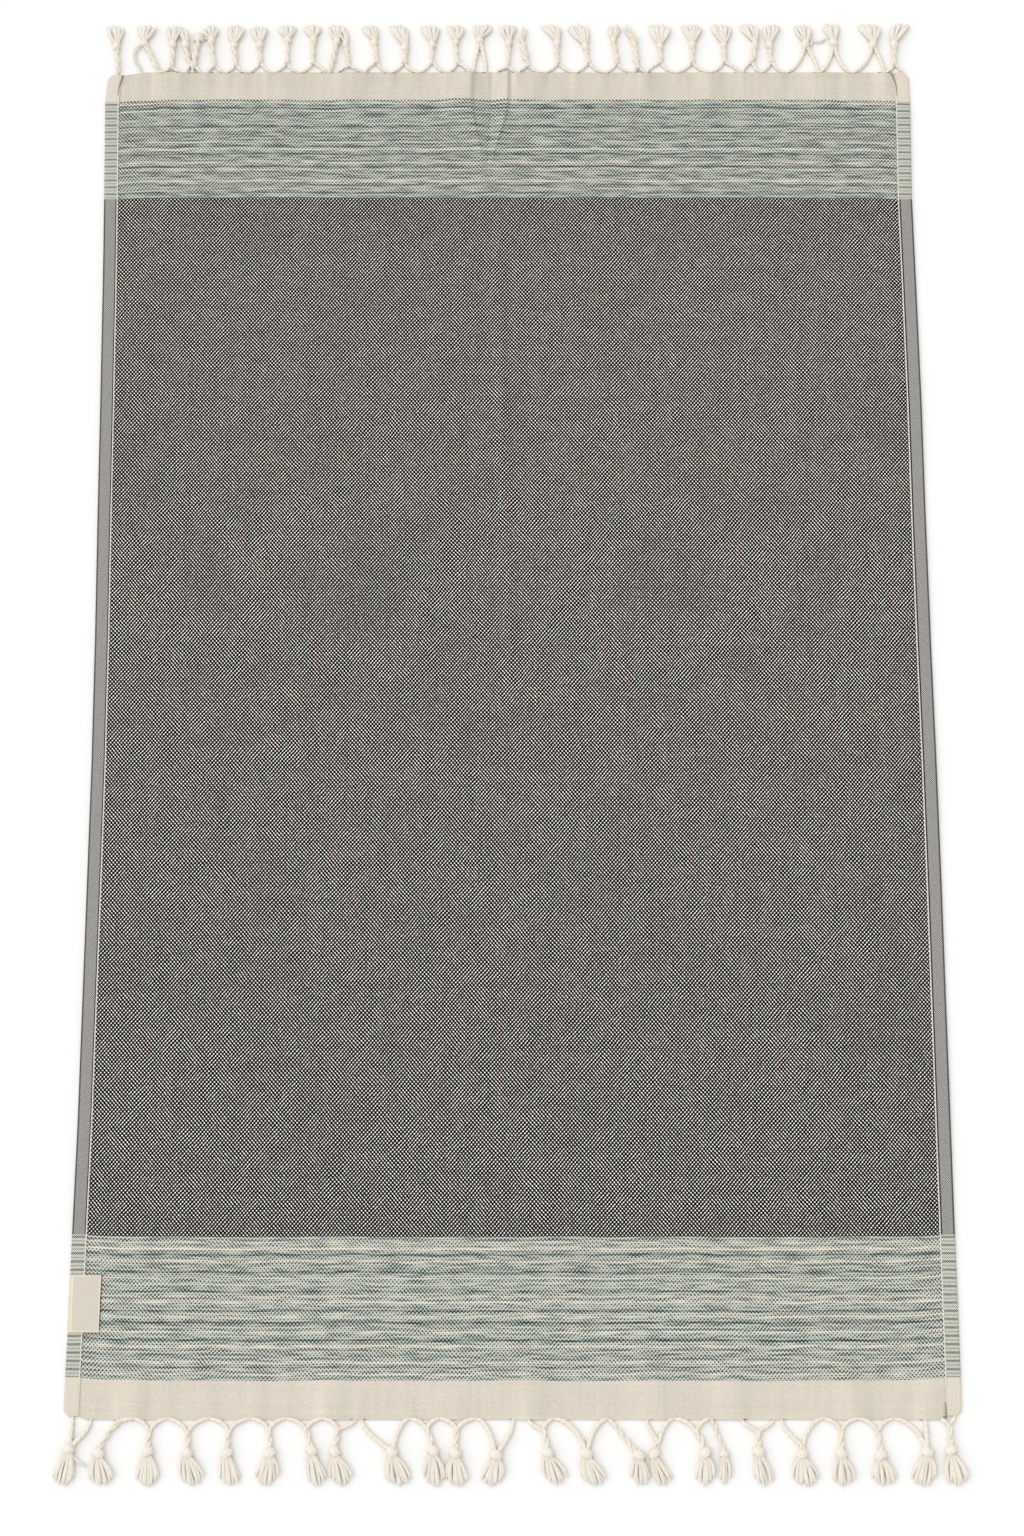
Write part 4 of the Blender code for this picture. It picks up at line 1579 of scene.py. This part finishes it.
@dataclass
class Fringe:
    """A row of tassels along one of the cloth's ends."""

    cloth: Cloth
    edge: Edge
    tassels: Sequence[Tassel]
    out: float
    yarn: Recipe
    brush: Recipe
    material: bpy.types.Material
    strays: Sequence[Stray] = ()
    root_wide: float = 3.4
    leg_wide: float = 4.7
    stem_wide: Span = (5.8, 6.6)      # thinnest and thickest
    ball_wide: Span = (14.8, 16.0)
    loose_wide: Span = (9.8, 12.6)
    bumpy: float = 0.05
    root_in: float = -0.9             # how far inside its own zero a leg starts
    strip: float = 3.3                # from the cloth's edge to where a tassel's own distances start
    flare: float = 2.0                # how soon a brush gets its width: 1 is a fan, 2 a bell
    rounded: float = 8.0              # how much shorter its outer locks are
    slant: float = 0.0                # how much further out the brushes reach at the right than at the left
    lock: float = 3.2                 # width of the tip of a lock
    threads: int = 7
    thread_wide: float = 1.3
    least_stem: float = 8.0           # legs that join nearer to their knot have no stem
    stem_pitch: float = 24.0
    ply_pitch: float = 21.0
    seed: int = 3

    def __post_init__(self) -> None:
        """Starts the row's own draw of uneven numbers."""
        self.draw = np.random.default_rng(self.seed)

    def vary(self, span: Span) -> float:
        """An uneven number of a span."""
        return float(self.draw.uniform(*span))

    def uneven(self, count: int, size: float) -> np.ndarray:
        """A soft uneven run of numbers round 1."""
        marks = self.draw.uniform(-size, size, count // 4 + 3)
        return 1 + np.interp(np.linspace(0, len(marks) - 1, count), range(len(marks)), marks)

    def point(self, across: float, out: float, up: float) -> Vector:
        """A tassel's point in the frame, in metres."""
        return self.cloth.place.point(across, self.along(out), up)

    def along(self, out: float) -> float:
        """How far along the cloth a place of the row is."""
        away = self.strip + out
        return -away if self.edge is Edge.LOWER else LENGTH + away

    def cloth_out(self, across: float) -> float:
        """How far out the cloth's own edge reaches.

        Args:
            across: a place across.

        Returns:
            Its distance there from where the tassels' own distances start.
        """
        upper = self.edge is Edge.UPPER
        end = LENGTH * upper
        return self.cloth.over[upper] - self.strip - abs(float(self.cloth.drawn(across, end)) - end)

    def line(self, path: Sequence[Vector], widths: Sequence[float], lit: Sequence[float] | float = 1.0) -> Line:
        """A strand along a path of (across, out, up)."""
        shares = [lit] * len(path) if isinstance(lit, float) else [float(v) for v in lit]
        return Line([self.point(*p) for p in path], [float(w) for w in widths], shares, self.vary((0, 1)))

    def shared(self, root: float) -> bool:
        """Whether two tassels' legs meet at this root."""
        roots = [r for t in self.tassels for r in {t.left, t.right} if abs(r - root) < 3]
        return len(roots) > 1 and abs(root) < WIDTH / 2 - HEM_WIDE - 2

    def arch(self, root: float, end: Span, up: float) -> list[Vector]:
        """A leg's path from its root almost along the edge and round to its end.

        Args:
            root: its root's place across.
            end: its end, by (across, out).
            up: the height of its end.

        Returns:
            Places by (across, out, up).
        """
        across = end[0] - root
        inside = self.shared(root) and abs(across) > 0.45 * end[1]
        up = max(up, self.leg_wide * FLOOR_CLEAR)
        begin = -self.root_in if inside else self.cloth_out(root) - 0.3
        bends = ((root, begin), (root + 0.46 * across, 0.7 - self.root_in + 0.03 * end[1]),
                 (end[0] - 0.15 * across, 0.42 * end[1]), end)
        if not inside:
            bends = (bends[0], (root + 0.1 * across, begin + 0.4 * end[1]), (end[0] - 0.3 * across, 0.75 * end[1]), end)
        path = []
        for share in np.linspace(0, 1, 11):
            rest = 1 - share
            weights = (rest**3, 3 * rest**2 * share, 3 * rest * share**2, share**3)
            x, y = (sum(w * b[i] for w, b in zip(weights, bends)) for i in (0, 1))
            z = blend(self.cloth.top(root, self.along(begin)) - (0.1 if inside else 0.6), up, smooth(0.1, 0.5, share))
            if y < self.cloth_out(x) + 1 and inside:
                z = max(z, self.cloth.top(x, self.along(y)) + 0.15)
            clear = FLOOR_CLEAR * blend(self.root_wide, self.leg_wide, smooth(0, 0.45, share))
            path.append(Vector((x, y, max(z, clear))))
        return path

    def wound_pair(self, path: Sequence[Vector], widths: Sequence[float]) -> list[list[Vector]]:
        """Winds two strands round each other.

        Args:
            path: the middle of the cord they make.
            widths: that cord's widths.

        Returns:
            The two strands' paths.
        """
        run, pair = 0.0, ([], [])
        start = self.vary((0, 1))
        for i, centre in enumerate(path):
            before, after = path[max(0, i - 1)], path[min(len(path) - 1, i + 1)]
            run += (centre - before).length if i else 0.0
            way = after - before
            beside = Vector((way.y, -way.x, 0)).normalized()
            turn = (run / self.stem_pitch + start) * FULL_TURN
            apart = widths[i] * 0.25
            offset = beside * apart * math.cos(turn) + Vector((0, 0, apart * math.sin(turn)))
            pair[0].append(centre + offset)
            pair[1].append(centre - offset)
        return list(pair)

    def strands(self, path: Sequence[Vector], widths: Sequence[float], lit: np.ndarray) -> list[Line]:
        """The two strands of a stem along its path, in its light."""
        return [self.line(strand, [w * STEM_STRAND for w in widths], lit) for strand in self.wound_pair(path, widths)]

    def knot_size(self, tassel: Tassel) -> Vector:
        """Half a knot's width, length and height.

        Args:
            tassel: its tassel.

        Returns:
            The three halves.
        """
        if tassel.form is Knot.BALL:
            wide = self.vary(self.ball_wide) * min(1.0, tassel.wide / 15)
            return Vector((wide, wide * 0.97, min(wide * 0.68, 10.5))) / 2
        wide = self.vary(self.loose_wide)
        return Vector((wide * 0.94, wide * 1.25, wide * 0.76)) / 2

    def stem(self, start: Vector, knot: Vector, wide: float, first: float) -> list[Line]:
        """The two strands of a stem, wound round each other from its start to its knot.

        Args:
            start: where it starts.
            knot: the middle of its knot.
            wide: its width.
            first: its width at the start, as a share of that.

        Returns:
            The strands.
        """
        bow = self.vary((-1, 1)) * self.bumpy * 10
        count = max(6, round((knot - start).length / 1.7))
        path = []
        bend = Vector((blend(start.x, knot.x, 0.72), blend(start.y, knot.y, 0.38), 0))
        for share in np.linspace(0, 1, count):
            centre = start.lerp(bend, share).lerp(bend.lerp(knot, share), share)
            centre.x += bow * math.sin(math.pi * share)
            centre.z = blend(max(start.z, wide * STEM_CLEAR), knot.z, smooth(0.5, 1.0, share))
            path.append(centre)
        shares = np.linspace(0, 1, count)
        widths = wide * blend(first, 1.0, smooth(0, 0.35, shares)) * self.uneven(count, self.bumpy * 2)
        lit = 1 - 0.45 * smooth(0.75, 1.0, shares) - 0.35 * smooth(0.12, 0.0, shares)
        return self.strands(path, widths, lit)

    def legs(self, tassel: Tassel, size: Vector) -> list[Line]:
        """The tassel's legs from their roots into its knot, wound round each other where they run together.

        Args:
            tassel: the tassel.
            size: half its knot's width, length and height.

        Returns:
            Their strands.
        """
        knot = Vector((tassel.knot, tassel.reach, size.z))
        roots = sorted({tassel.left, tassel.right})
        wide = self.vary(self.stem_wide)
        if len(roots) == 1:
            across = knot.x - roots[0]
            begin = min(-self.root_in, self.cloth_out(roots[0]) - 0.8)
            top = self.cloth.top(roots[0], self.along(begin))
            root = Vector((roots[0], begin, max(top - 0.3, self.root_wide * FLOOR_CLEAR)))
            bend = Vector((roots[0] + across * 0.25, knot.y * 0.22, 2.6))
            return self.single_stem(root, bend, knot, wide)
        forked = tassel.fork < tassel.reach - self.least_stem
        middle = blend((tassel.left + tassel.right) / 2, tassel.knot, 0.25)
        fork = Vector((middle, tassel.fork, wide / 2)) if forked else knot
        lines = []
        for root in roots:
            path = self.arch(root, (fork.x + (root - fork.x) * 0.02, fork.y), self.leg_wide / 2)
            slant = self.vary((0.94, 1.06)) * (1.0 if forked else 1.22)
            shares = np.linspace(0, 1, len(path))
            widths = [blend(self.root_wide, self.leg_wide, smooth(0.0, 0.45, s)) * slant
                      * blend(0.5, 1.0, smooth(0.0, 0.12, s)) for s in shares]
            if forked:
                path += [fork.lerp(knot, s) for s in (0.08, 0.2)]
                widths += [widths[-1] * 0.8, widths[-1] * 0.55]
                lit = [*(1 - 0.3 * smooth(0.8, 1.0, shares)), 0.6, 0.5]
            else:
                for point in path:
                    point.z = blend(point.z, size.z, 1 - smooth(2.0, 12.0, (point - knot).length))
                lit = 1 - 0.4 * smooth(0.8, 1.0, shares)
            lines.append(self.line(path, widths, lit))
        if forked:
            start = fork.lerp(knot, -2.4 / (knot - fork).length)
            lines += self.stem(start, knot, wide, 0.8)
        return lines

    def root_shadows(self, tassel: Tassel) -> list[Line]:
        """Painted shadows: small dark strands in the gaps where a tassel's legs part from the cloth's edge.

        Args:
            tassel: the tassel.

        Returns:
            The painted shadows, as thin dark strands.
        """
        lines = []
        middle = (tassel.left + tassel.right) / 2
        for root in sorted({tassel.left, tassel.right}):
            inwards = 1.0 if root <= middle else -1.0
            into, long = self.vary((1.4, 4.0)), self.vary((2.2, 4.2))
            out = self.cloth_out(root) - self.vary((0.1, 0.7))
            path = []
            for share in (0.0, 0.5, 1.0):
                x = root + inwards * (into + long * share)
                path.append(Vector((x, out, self.cloth.top(x, self.along(out)) + 0.05)))
            lines.append(self.line(path, [0.7, 1.1, 0.6], self.vary((-1.5, -0.9))))
        return lines

    def single_stem(self, root: Vector, bend: Vector, knot: Vector, wide: float) -> list[Line]:
        """A stem of two strands that grows from one root.

        Args:
            root: where it leaves the cloth.
            bend: what it bends towards.
            knot: the middle of its knot.
            wide: its width.

        Returns:
            The strands.
        """
        count = max(8, round((knot - root).length / 1.8))
        shares = np.linspace(0, 1, count)
        path = [root.lerp(bend, s).lerp(bend.lerp(knot, s), s) for s in shares]
        for centre, share in zip(path, shares):
            centre.z = blend(blend(root.z, wide * STEM_CLEAR, smooth(0, 0.3, share)), knot.z, smooth(0.6, 1.0, share))
        widths = wide * blend(0.5, 0.95, smooth(0, 0.3, shares)) * self.uneven(count, self.bumpy * 2)
        lit = 1 - 0.4 * smooth(0.85, 1.0, shares) - 0.3 * smooth(0.1, 0.0, shares)
        return self.strands(path, widths, lit)

    def winding(self, tassel: Tassel, size: Vector) -> list[Line]:
        """The turns of yarn that make the knot's surface.

        Args:
            tassel: the tassel.
            size: half its knot's width, length and height.

        Returns:
            The winding strand.
        """
        ball = tassel.form is Knot.BALL
        turns, strand = (3.6, size.x * 0.66) if ball else (2.3, size.x * 0.84)
        lean = math.radians(self.vary((20, 58)) * (-1 if self.vary((0, 1)) > 0.35 else 1))
        axis = Vector((math.sin(lean), math.cos(lean), self.vary((-0.3, 0.3)))).normalized()
        first = axis.cross(Vector((0, 0, 1))).normalized()
        second = axis.cross(first)
        centre = Vector((tassel.knot, tassel.reach, size.z))
        reach = math.radians(56 if ball else 36)
        count = int(turns * 18)
        path, lit = [], []
        for share in np.linspace(0, 1, count):
            tilt, turn = blend(-reach, reach, share), share * turns * FULL_TURN
            ring = first * math.cos(turn) + second * math.sin(turn)
            way = axis * math.sin(tilt) + ring * math.cos(tilt)
            inside = 1 - strand / 2 / size.x
            offset = Vector((way.x * size.x, way.y * size.y, 0)) * inside
            offset.z = way.z * (size.z - strand * 0.5)
            path.append(centre + offset)
            lit.append(1 - 0.5 * smooth(0.72, 1.0, abs(way.y)))
        widths = [strand * (0.8 + 0.2 * math.sin(math.pi * s)) for s in np.linspace(0, 1, count)]
        return [self.line(path, widths, lit)]

    def core(self, tassel: Tassel, size: Vector) -> list[Line]:
        """A short thick strand that fills the knot.

        Args:
            tassel: the tassel.
            size: half its knot's width, length and height.

        Returns:
            The strand.
        """
        span = size.y * 0.74
        path = [Vector((tassel.knot, tassel.reach + span * s, size.z)) for s in (-1, -0.6, 0, 0.6, 1)]
        widths = [min(size.x * w, size.z * 1.9) for w in (0.6, 1.45, 1.7, 1.45, 0.7)]
        return [self.line(path, widths, [0.3, 0.5, 0.8, 0.5, 0.3])]

    def brush_locks(self, tassel: Tassel, size: Vector) -> tuple[list[Line], list[Line]]:
        """The locks of the tassel's cut end, fanned out from its knot.

        Args:
            tassel: the tassel.
            size: half its knot's width, length and height.

        Returns:
            The locks' own bodies, and the guides of the threads over them.
        """
        bodies, guides = [], []
        count = max(2, round(tassel.wide / self.lock))
        half = tassel.wide / 2 - self.lock * 0.3
        neck_out = tassel.reach + (-4.0 if tassel.form is Knot.UNTIED else size.y * 0.62)
        narrow = min(3.0, size.x * 0.42)
        shares = np.linspace(0, 1, 8)
        for i in range(count):
            side = (2 * i / (count - 1) - 1) + self.vary((-0.6, 0.6)) / count
            layer = i % 2
            shorter = self.rounded * side * side + self.vary((0, 3.0))
            tip_out = self.out + self.slant * tassel.tip / WIDTH - shorter
            bow = self.vary((-1.5, 1.5))
            path = []
            for share in shares:
                spread = 1 - (1 - share) ** self.flare
                across = blend(tassel.knot, tassel.tip, share) + side * blend(narrow, half, spread)
                up = blend(size.z * 1.0, 1.9 + 1.1 * layer, share) + math.sin(math.pi * share) * (0.7 + 0.6 * layer)
                path.append(Vector((across + bow * math.sin(math.pi * share), blend(neck_out, tip_out, share), up)))
            wide = (2 * half / count * 1.1 + 0.4) * self.vary((0.85, 1.1))
            widths = [blend(2.6, wide, smooth(0, 0.6, s)) * blend(1.0, 0.78, smooth(0.75, 1.0, s)) for s in shares]
            body = [w * 0.95 * blend(1.0, 0.7, smooth(0.72, 1.0, s)) for w, s in zip(widths, shares)]
            lit = [blend(0.2, 1.1, smooth(0.05, 0.6, s)) for s in shares]
            bodies.append(self.line(path[:-1] + [path[-2].lerp(path[-1], 0.6)], body, lit))
            guides.append(self.line(path, widths, [blend(0.35, 0.95, smooth(0, 0.75, s)) for s in shares]))
        return bodies, guides

    def frayed(self, tassel: Tassel) -> list[Line]:
        """Short tangled locks in every direction, round the end of a knot that has come apart.

        Args:
            tassel: the tassel.

        Returns:
            The guides of their threads.
        """
        lines = []
        for i in range(11):
            turn = math.radians(-35 + 25 * i + self.vary((-8, 8)))
            way = Vector((math.cos(turn), math.sin(turn), 0))
            start = Vector((tassel.knot, tassel.reach, 4.4))
            path = [start + way * r + Vector((0, 0, z)) for r, z in ((1, 1.2), (3.4, 0.9), (5.4, -0.4), (6.6, -2.0))]
            lines.append(self.line(path, [2.6, 3.2, 3.4, 3.0], 0.45))
        return lines

    def stray_lock(self, stray: Stray) -> Line:
        """The guide of a stray lock's threads.

        Args:
            stray: the lock.

        Returns:
            The guide.
        """
        course = walk(stray.course)
        path = [Vector((x, y, blend(3.2, 1.8, share))) for x, y, share in course]
        return self.line(path, [stray.wide * blend(0.75, 1.0, share) for *_, share in course], 0.9)

    def build(self) -> list[bpy.types.Object]:
        """Makes the row's legs, knots and brushes.

        Returns:
            The three pieces, in their places.
        """
        legs, knots, locks = [], [], [self.stray_lock(s) for s in self.strays]
        for tassel in self.tassels:
            size = self.knot_size(tassel)
            legs += self.legs(tassel, size)
            knots += self.root_shadows(tassel)
            if tassel.form is not Knot.UNTIED:
                knots += self.winding(tassel, size) + self.core(tassel, size)
            if tassel.form is Knot.FRAYED:
                locks += self.frayed(tassel)
            else:
                bodies, guides = self.brush_locks(tassel, size)
                knots += bodies
                locks += guides
        row = f"fringe_{self.edge.value}"
        made = [
            self.yarn.run(guide_lines(row, legs), row + "_legs", Plies=3, Sides=6, Lay=0.38,
                          Pitch=self.ply_pitch * MM, Step=YARN_STEP, Material=self.material),
            self.yarn.run(guide_lines(row, knots), row + "_knots", Sides=8, Material=self.material, **SINGLE),
            self.brush.run(guide_lines(row, locks), row + "_brushes", Threads=self.threads, Seed=self.seed,
                           Wide=self.thread_wide * MM, Ragged=0.1, Material=self.material),
        ]
        return [dress(piece, "tassel", row) for piece in made]


# ---- The tag ----


@dataclass
class Tag:
    """The blank cotton tag, folded round the left hem and sewn down."""

    place: Place
    recipe: Recipe
    start: float = 90.8
    end: float = 154.5
    wide: float = 35.2
    thick: float = 0.5
    up: float = 3.7               # middle of its front
    gap: float = 0.2              # from the cloth's edge
    lean: Span = (0.6, 1.4)       # how much further in its upper end lies, at the fold and at its free end
    ridge: float = 3.7            # from its fold to the sewn line
    border: float = 1.1

    def profile(self) -> list[Span]:
        """Its section: up from the floor, round the hem and over it to its free end.

        Returns:
            Places by (in from the fold, up).
        """
        side = [(0.0, 0.4), (-0.1, 1.2), (-0.05, 2.2), (0.2, 2.85), (0.8, self.up - 0.02), (1.9, self.up + 0.05)]
        sewn = [(self.ridge - 0.8, self.up), (self.ridge - 0.5, self.up + 0.12), (self.ridge, self.up + 0.22),
                (self.ridge + 0.7, self.up + 0.18), (self.ridge + 1.2, self.up - 0.02), (self.ridge + 2.2, self.up)]
        flat = (9, 13, 17, 21, 25, 29, 32, self.wide - self.border, self.wide)
        free = [(x, self.up + 0.3 * math.sin((x - 9) / 26 * 2.4)) for x in flat]
        # Past its free end the tape curls down; those faces are painted as the shadow under it.
        under = [(self.wide + 0.2, self.up - 0.5), (self.wide + 0.6, self.up - 1.2), (self.wide + 0.8, self.up - 2.0)]
        return side + sewn + free + under

    def fold(self) -> float:
        """Where its fold lies across the towel."""
        return float(side_edges((self.start + self.end) / 2)[0]) - self.gap

    def build(self, tape: bpy.types.Material, edge: bpy.types.Material, side: bpy.types.Material,
              shade: bpy.types.Material) -> bpy.types.Object:
        """Makes the tape.

        Args:
            tape: the material of its middle.
            edge: the material of its border and of its sewn ridge, where its paleness is a painted highlight.
            side: the material of its folded side.
            shade: the material of the painted shadow under its free end.

        Returns:
            The closed tape, in its place.
        """
        profile = self.profile()
        long = self.end - self.start
        rows = [0, 0.5, self.border, *evenly(4, long - 4, 4.0), long - 4, long - self.border, long - 0.5, long]
        points = []
        for row in rows:
            share = row / long - 0.5
            lip = 0.12 * (1 - smooth(0, 1.2, min(row, long - row)))
            for into, up in profile:
                slant = share * blend(*self.lean, into / self.wide)
                sag = 0.2 * math.sin(FULL_TURN * share * 0.8 + 2.6) * into / self.wide
                points.append(self.place.point(self.fold() + into + slant, self.start + row, up + lip + sag))
        made = solidified(grid("tag_tape", points, len(profile)), self.thick, [tape])
        for material in (edge, side, shade):
            made.data.materials.append(material)
        edge_slot, side_slot, shade_slot = 1, 2, 3
        for face in made.data.polygons:
            centre = face.center / MM
            row = centre.y - self.place.along_zero - self.start
            slant = (row / long - 0.5) * self.lean[0]
            into = centre.x - self.place.across_zero - self.fold() - slant
            # Faces past the free end: painted shadow.
            if into > self.wide + 0.3:
                face.material_index = shade_slot
            # The border and the sewn ridge take the paler edge colour; on the ridge it is a painted highlight.
            elif not self.border < row < long - self.border or abs(into - self.ridge) < 0.9 or into > self.wide - 1.2:
                face.material_index = edge_slot
            elif into < self.ridge:
                face.material_index = side_slot
        return made

    def seam(self, material: bpy.types.Material) -> bpy.types.Object:
        """The line of small stitches through tag and hem.

        Args:
            material: of the thread.

        Returns:
            The stitches, in their place.
        """
        points = [self.place.point(self.fold() + self.ridge + 1.5 + self.lean[0] * (y / 64 - 0.5),
                                   self.start + y, self.up + 0.25) for y in (1.5, 17, 32, 47, 62.0)]
        guides = guide_lines("tag_stitches", [Line.seam(points)])
        return self.recipe.run(guides, "tag_stitches", Step=2.6 * MM, Wide=0.6 * MM, Material=material)


# ---- The studio ----


@dataclass
class Studio:
    """The camera, a plain pale floor and soft light."""

    place: Place
    camera_along: float = -273.8
    camera_up: float = 3810.0
    camera_tilt: float = 15.0
    lens: float = 78.8
    sensor: float = 36.0
    floor_size: float = 40.0          # metres
    floor_up: float = -0.2            # just clear of the towel
    floor_white: float = 0.945
    sky: float = 0.778
    sky_tint: Colour = (0.965, 0.985, 1.0)
    key: float = 1.25
    key_tint: Colour = (1.0, 0.955, 0.917)
    key_wide: float = 75.0            # degrees
    key_height: float = 52.0          # above the horizon
    key_from: float = 155.0           # degrees round from +X

    def build(self) -> None:
        """Sets it up."""
        self.make_camera()
        self.make_floor()
        self.make_lights()
        bpy.context.scene.view_settings.view_transform = "Standard"

    def make_camera(self) -> None:
        """The camera, above the towel's lower end and tilted a little up its length."""
        camera = bpy.data.cameras.new("camera")
        camera.lens = self.lens
        camera.sensor_width = self.sensor
        camera.clip_end = 100.0
        made = bpy.data.objects.new("camera", camera)
        made.location = self.place.point(0, self.camera_along, self.camera_up)
        made.rotation_euler = (math.radians(self.camera_tilt), 0, 0)
        bpy.context.scene.collection.objects.link(made)
        bpy.context.scene.camera = made

    def make_floor(self) -> None:
        """A large plain floor just under the towel."""
        half = self.floor_size / 2
        corners = [Vector((x, y, self.floor_up * MM)) for y in (-half, half) for x in (-half, half)]
        mesh = grid("floor", corners, 2)
        floor = add_object("floor", mesh)
        surface = Surface("pale_floor")
        surface.set("Base Color", (self.floor_white, self.floor_white, self.floor_white, 1.0))
        surface.set("Roughness", 1.0)
        surface.set("Specular IOR Level", 0.0)
        mesh.materials.append(surface.material)

    def make_lights(self) -> None:
        """An even white surround, and one broad soft light from the left."""
        world = bpy.data.worlds.new("surround")
        world.use_nodes = True
        background = world.node_tree.nodes["Background"]
        background.inputs["Color"].default_value = (*self.sky_tint, 1.0)
        background.inputs["Strength"].default_value = self.sky
        bpy.context.scene.world = world
        sun = bpy.data.lights.new("key", "SUN")
        sun.energy = self.key
        sun.color = self.key_tint
        sun.angle = math.radians(self.key_wide)
        made = bpy.data.objects.new("key", sun)
        height, turn = math.radians(self.key_height), math.radians(self.key_from)
        towards = Vector((math.cos(turn) * math.cos(height), math.sin(turn) * math.cos(height), math.sin(height)))
        made.rotation_euler = towards.to_track_quat("Z", "Y").to_euler()
        bpy.context.scene.collection.objects.link(made)


# ---- All together ----


def build_towel(place: Place) -> None:
    """Builds and dresses every piece of the towel.

    Args:
        place: where it lies.
    """
    face, reverse = FaceWeave().material(), ReverseWeave().material()
    cotton = CottonYarn().material()
    white = STITCH_WHITE.material()
    stitches, yarn, brush = stitch_recipe(), yarn_recipe(), brush_recipe()

    cloth = Cloth(place)
    bottom = Fringe(cloth, Edge.LOWER, BOTTOM, BOTTOM_OUT, yarn, brush, cotton, BOTTOM_STRAYS, seed=3)
    top = Fringe(cloth, Edge.UPPER, TOP, TOP_OUT, yarn, brush, cotton, TOP_STRAYS, stem_wide=(6.0, 7.6),
                 leg_wide=4.0, root_wide=3.2, root_in=2.8, bumpy=0.09, stem_pitch=25.0, flare=1.25, rounded=2.2,
                 slant=3.0, lock=3.4, seed=8)
    bottom_pieces, top_pieces = bottom.build(), top.build()

    seams = [HemSeam(cloth, stitches, True, 16.3).build("hem_stitches_left", white),
             HemSeam(cloth, stitches, False, 16.7).build("hem_stitches_right", white)]
    slit_shadows = guide_lines("hem_slits", [slit_shadow(cloth, slit) for slit in SLITS])
    seams.append(yarn.run(slit_shadows, "hem_slits", Sides=6, Material=cotton, **SINGLE))
    for seam in seams:
        dress(seam, "weave")
    middle = (LOWER_BAND[1] + UPPER_BAND[0]) / 2
    cuts = (("cloth_lower_band", -cloth.over[0], LOWER_BAND[1], bottom_pieces),
            ("cloth_body_lower", LOWER_BAND[1], middle, seams),
            ("cloth_body_upper", middle, UPPER_BAND[0], []),
            ("cloth_upper_band", UPPER_BAND[0], LENGTH + cloth.over[1], top_pieces))
    for name, start, end, on_it in cuts:
        piece = dress(cloth.section(name, start, end, (face, reverse)), "weave", "cloth")
        (end - start) * MM
        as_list(on_it)

    tag = Tag(place, stitches)
    tag_edge = TAG_EDGE.material()
    made = tag.build(TAG_TAPE.material(), tag_edge, TAG_SIDE.material(), TAG_SHADE.material())
    tape = dress(made, "tag", "label")
    tag_seam = dress(tag.seam(tag_edge), "tag")
    (tag.wide + tag.up) * MM
    (tag.end - tag.start) * MM


def main() -> None:
    """Loads the frame, sets up the studio and dresses the towel."""
    logging.basicConfig(level=logging.INFO, format="%(name)s: %(message)s")
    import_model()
    place = Place.of_frame()
    Studio(place).build()
    build_towel(place)
    bpy.context.view_layer.update()


if __name__ == "__main__":
    main()
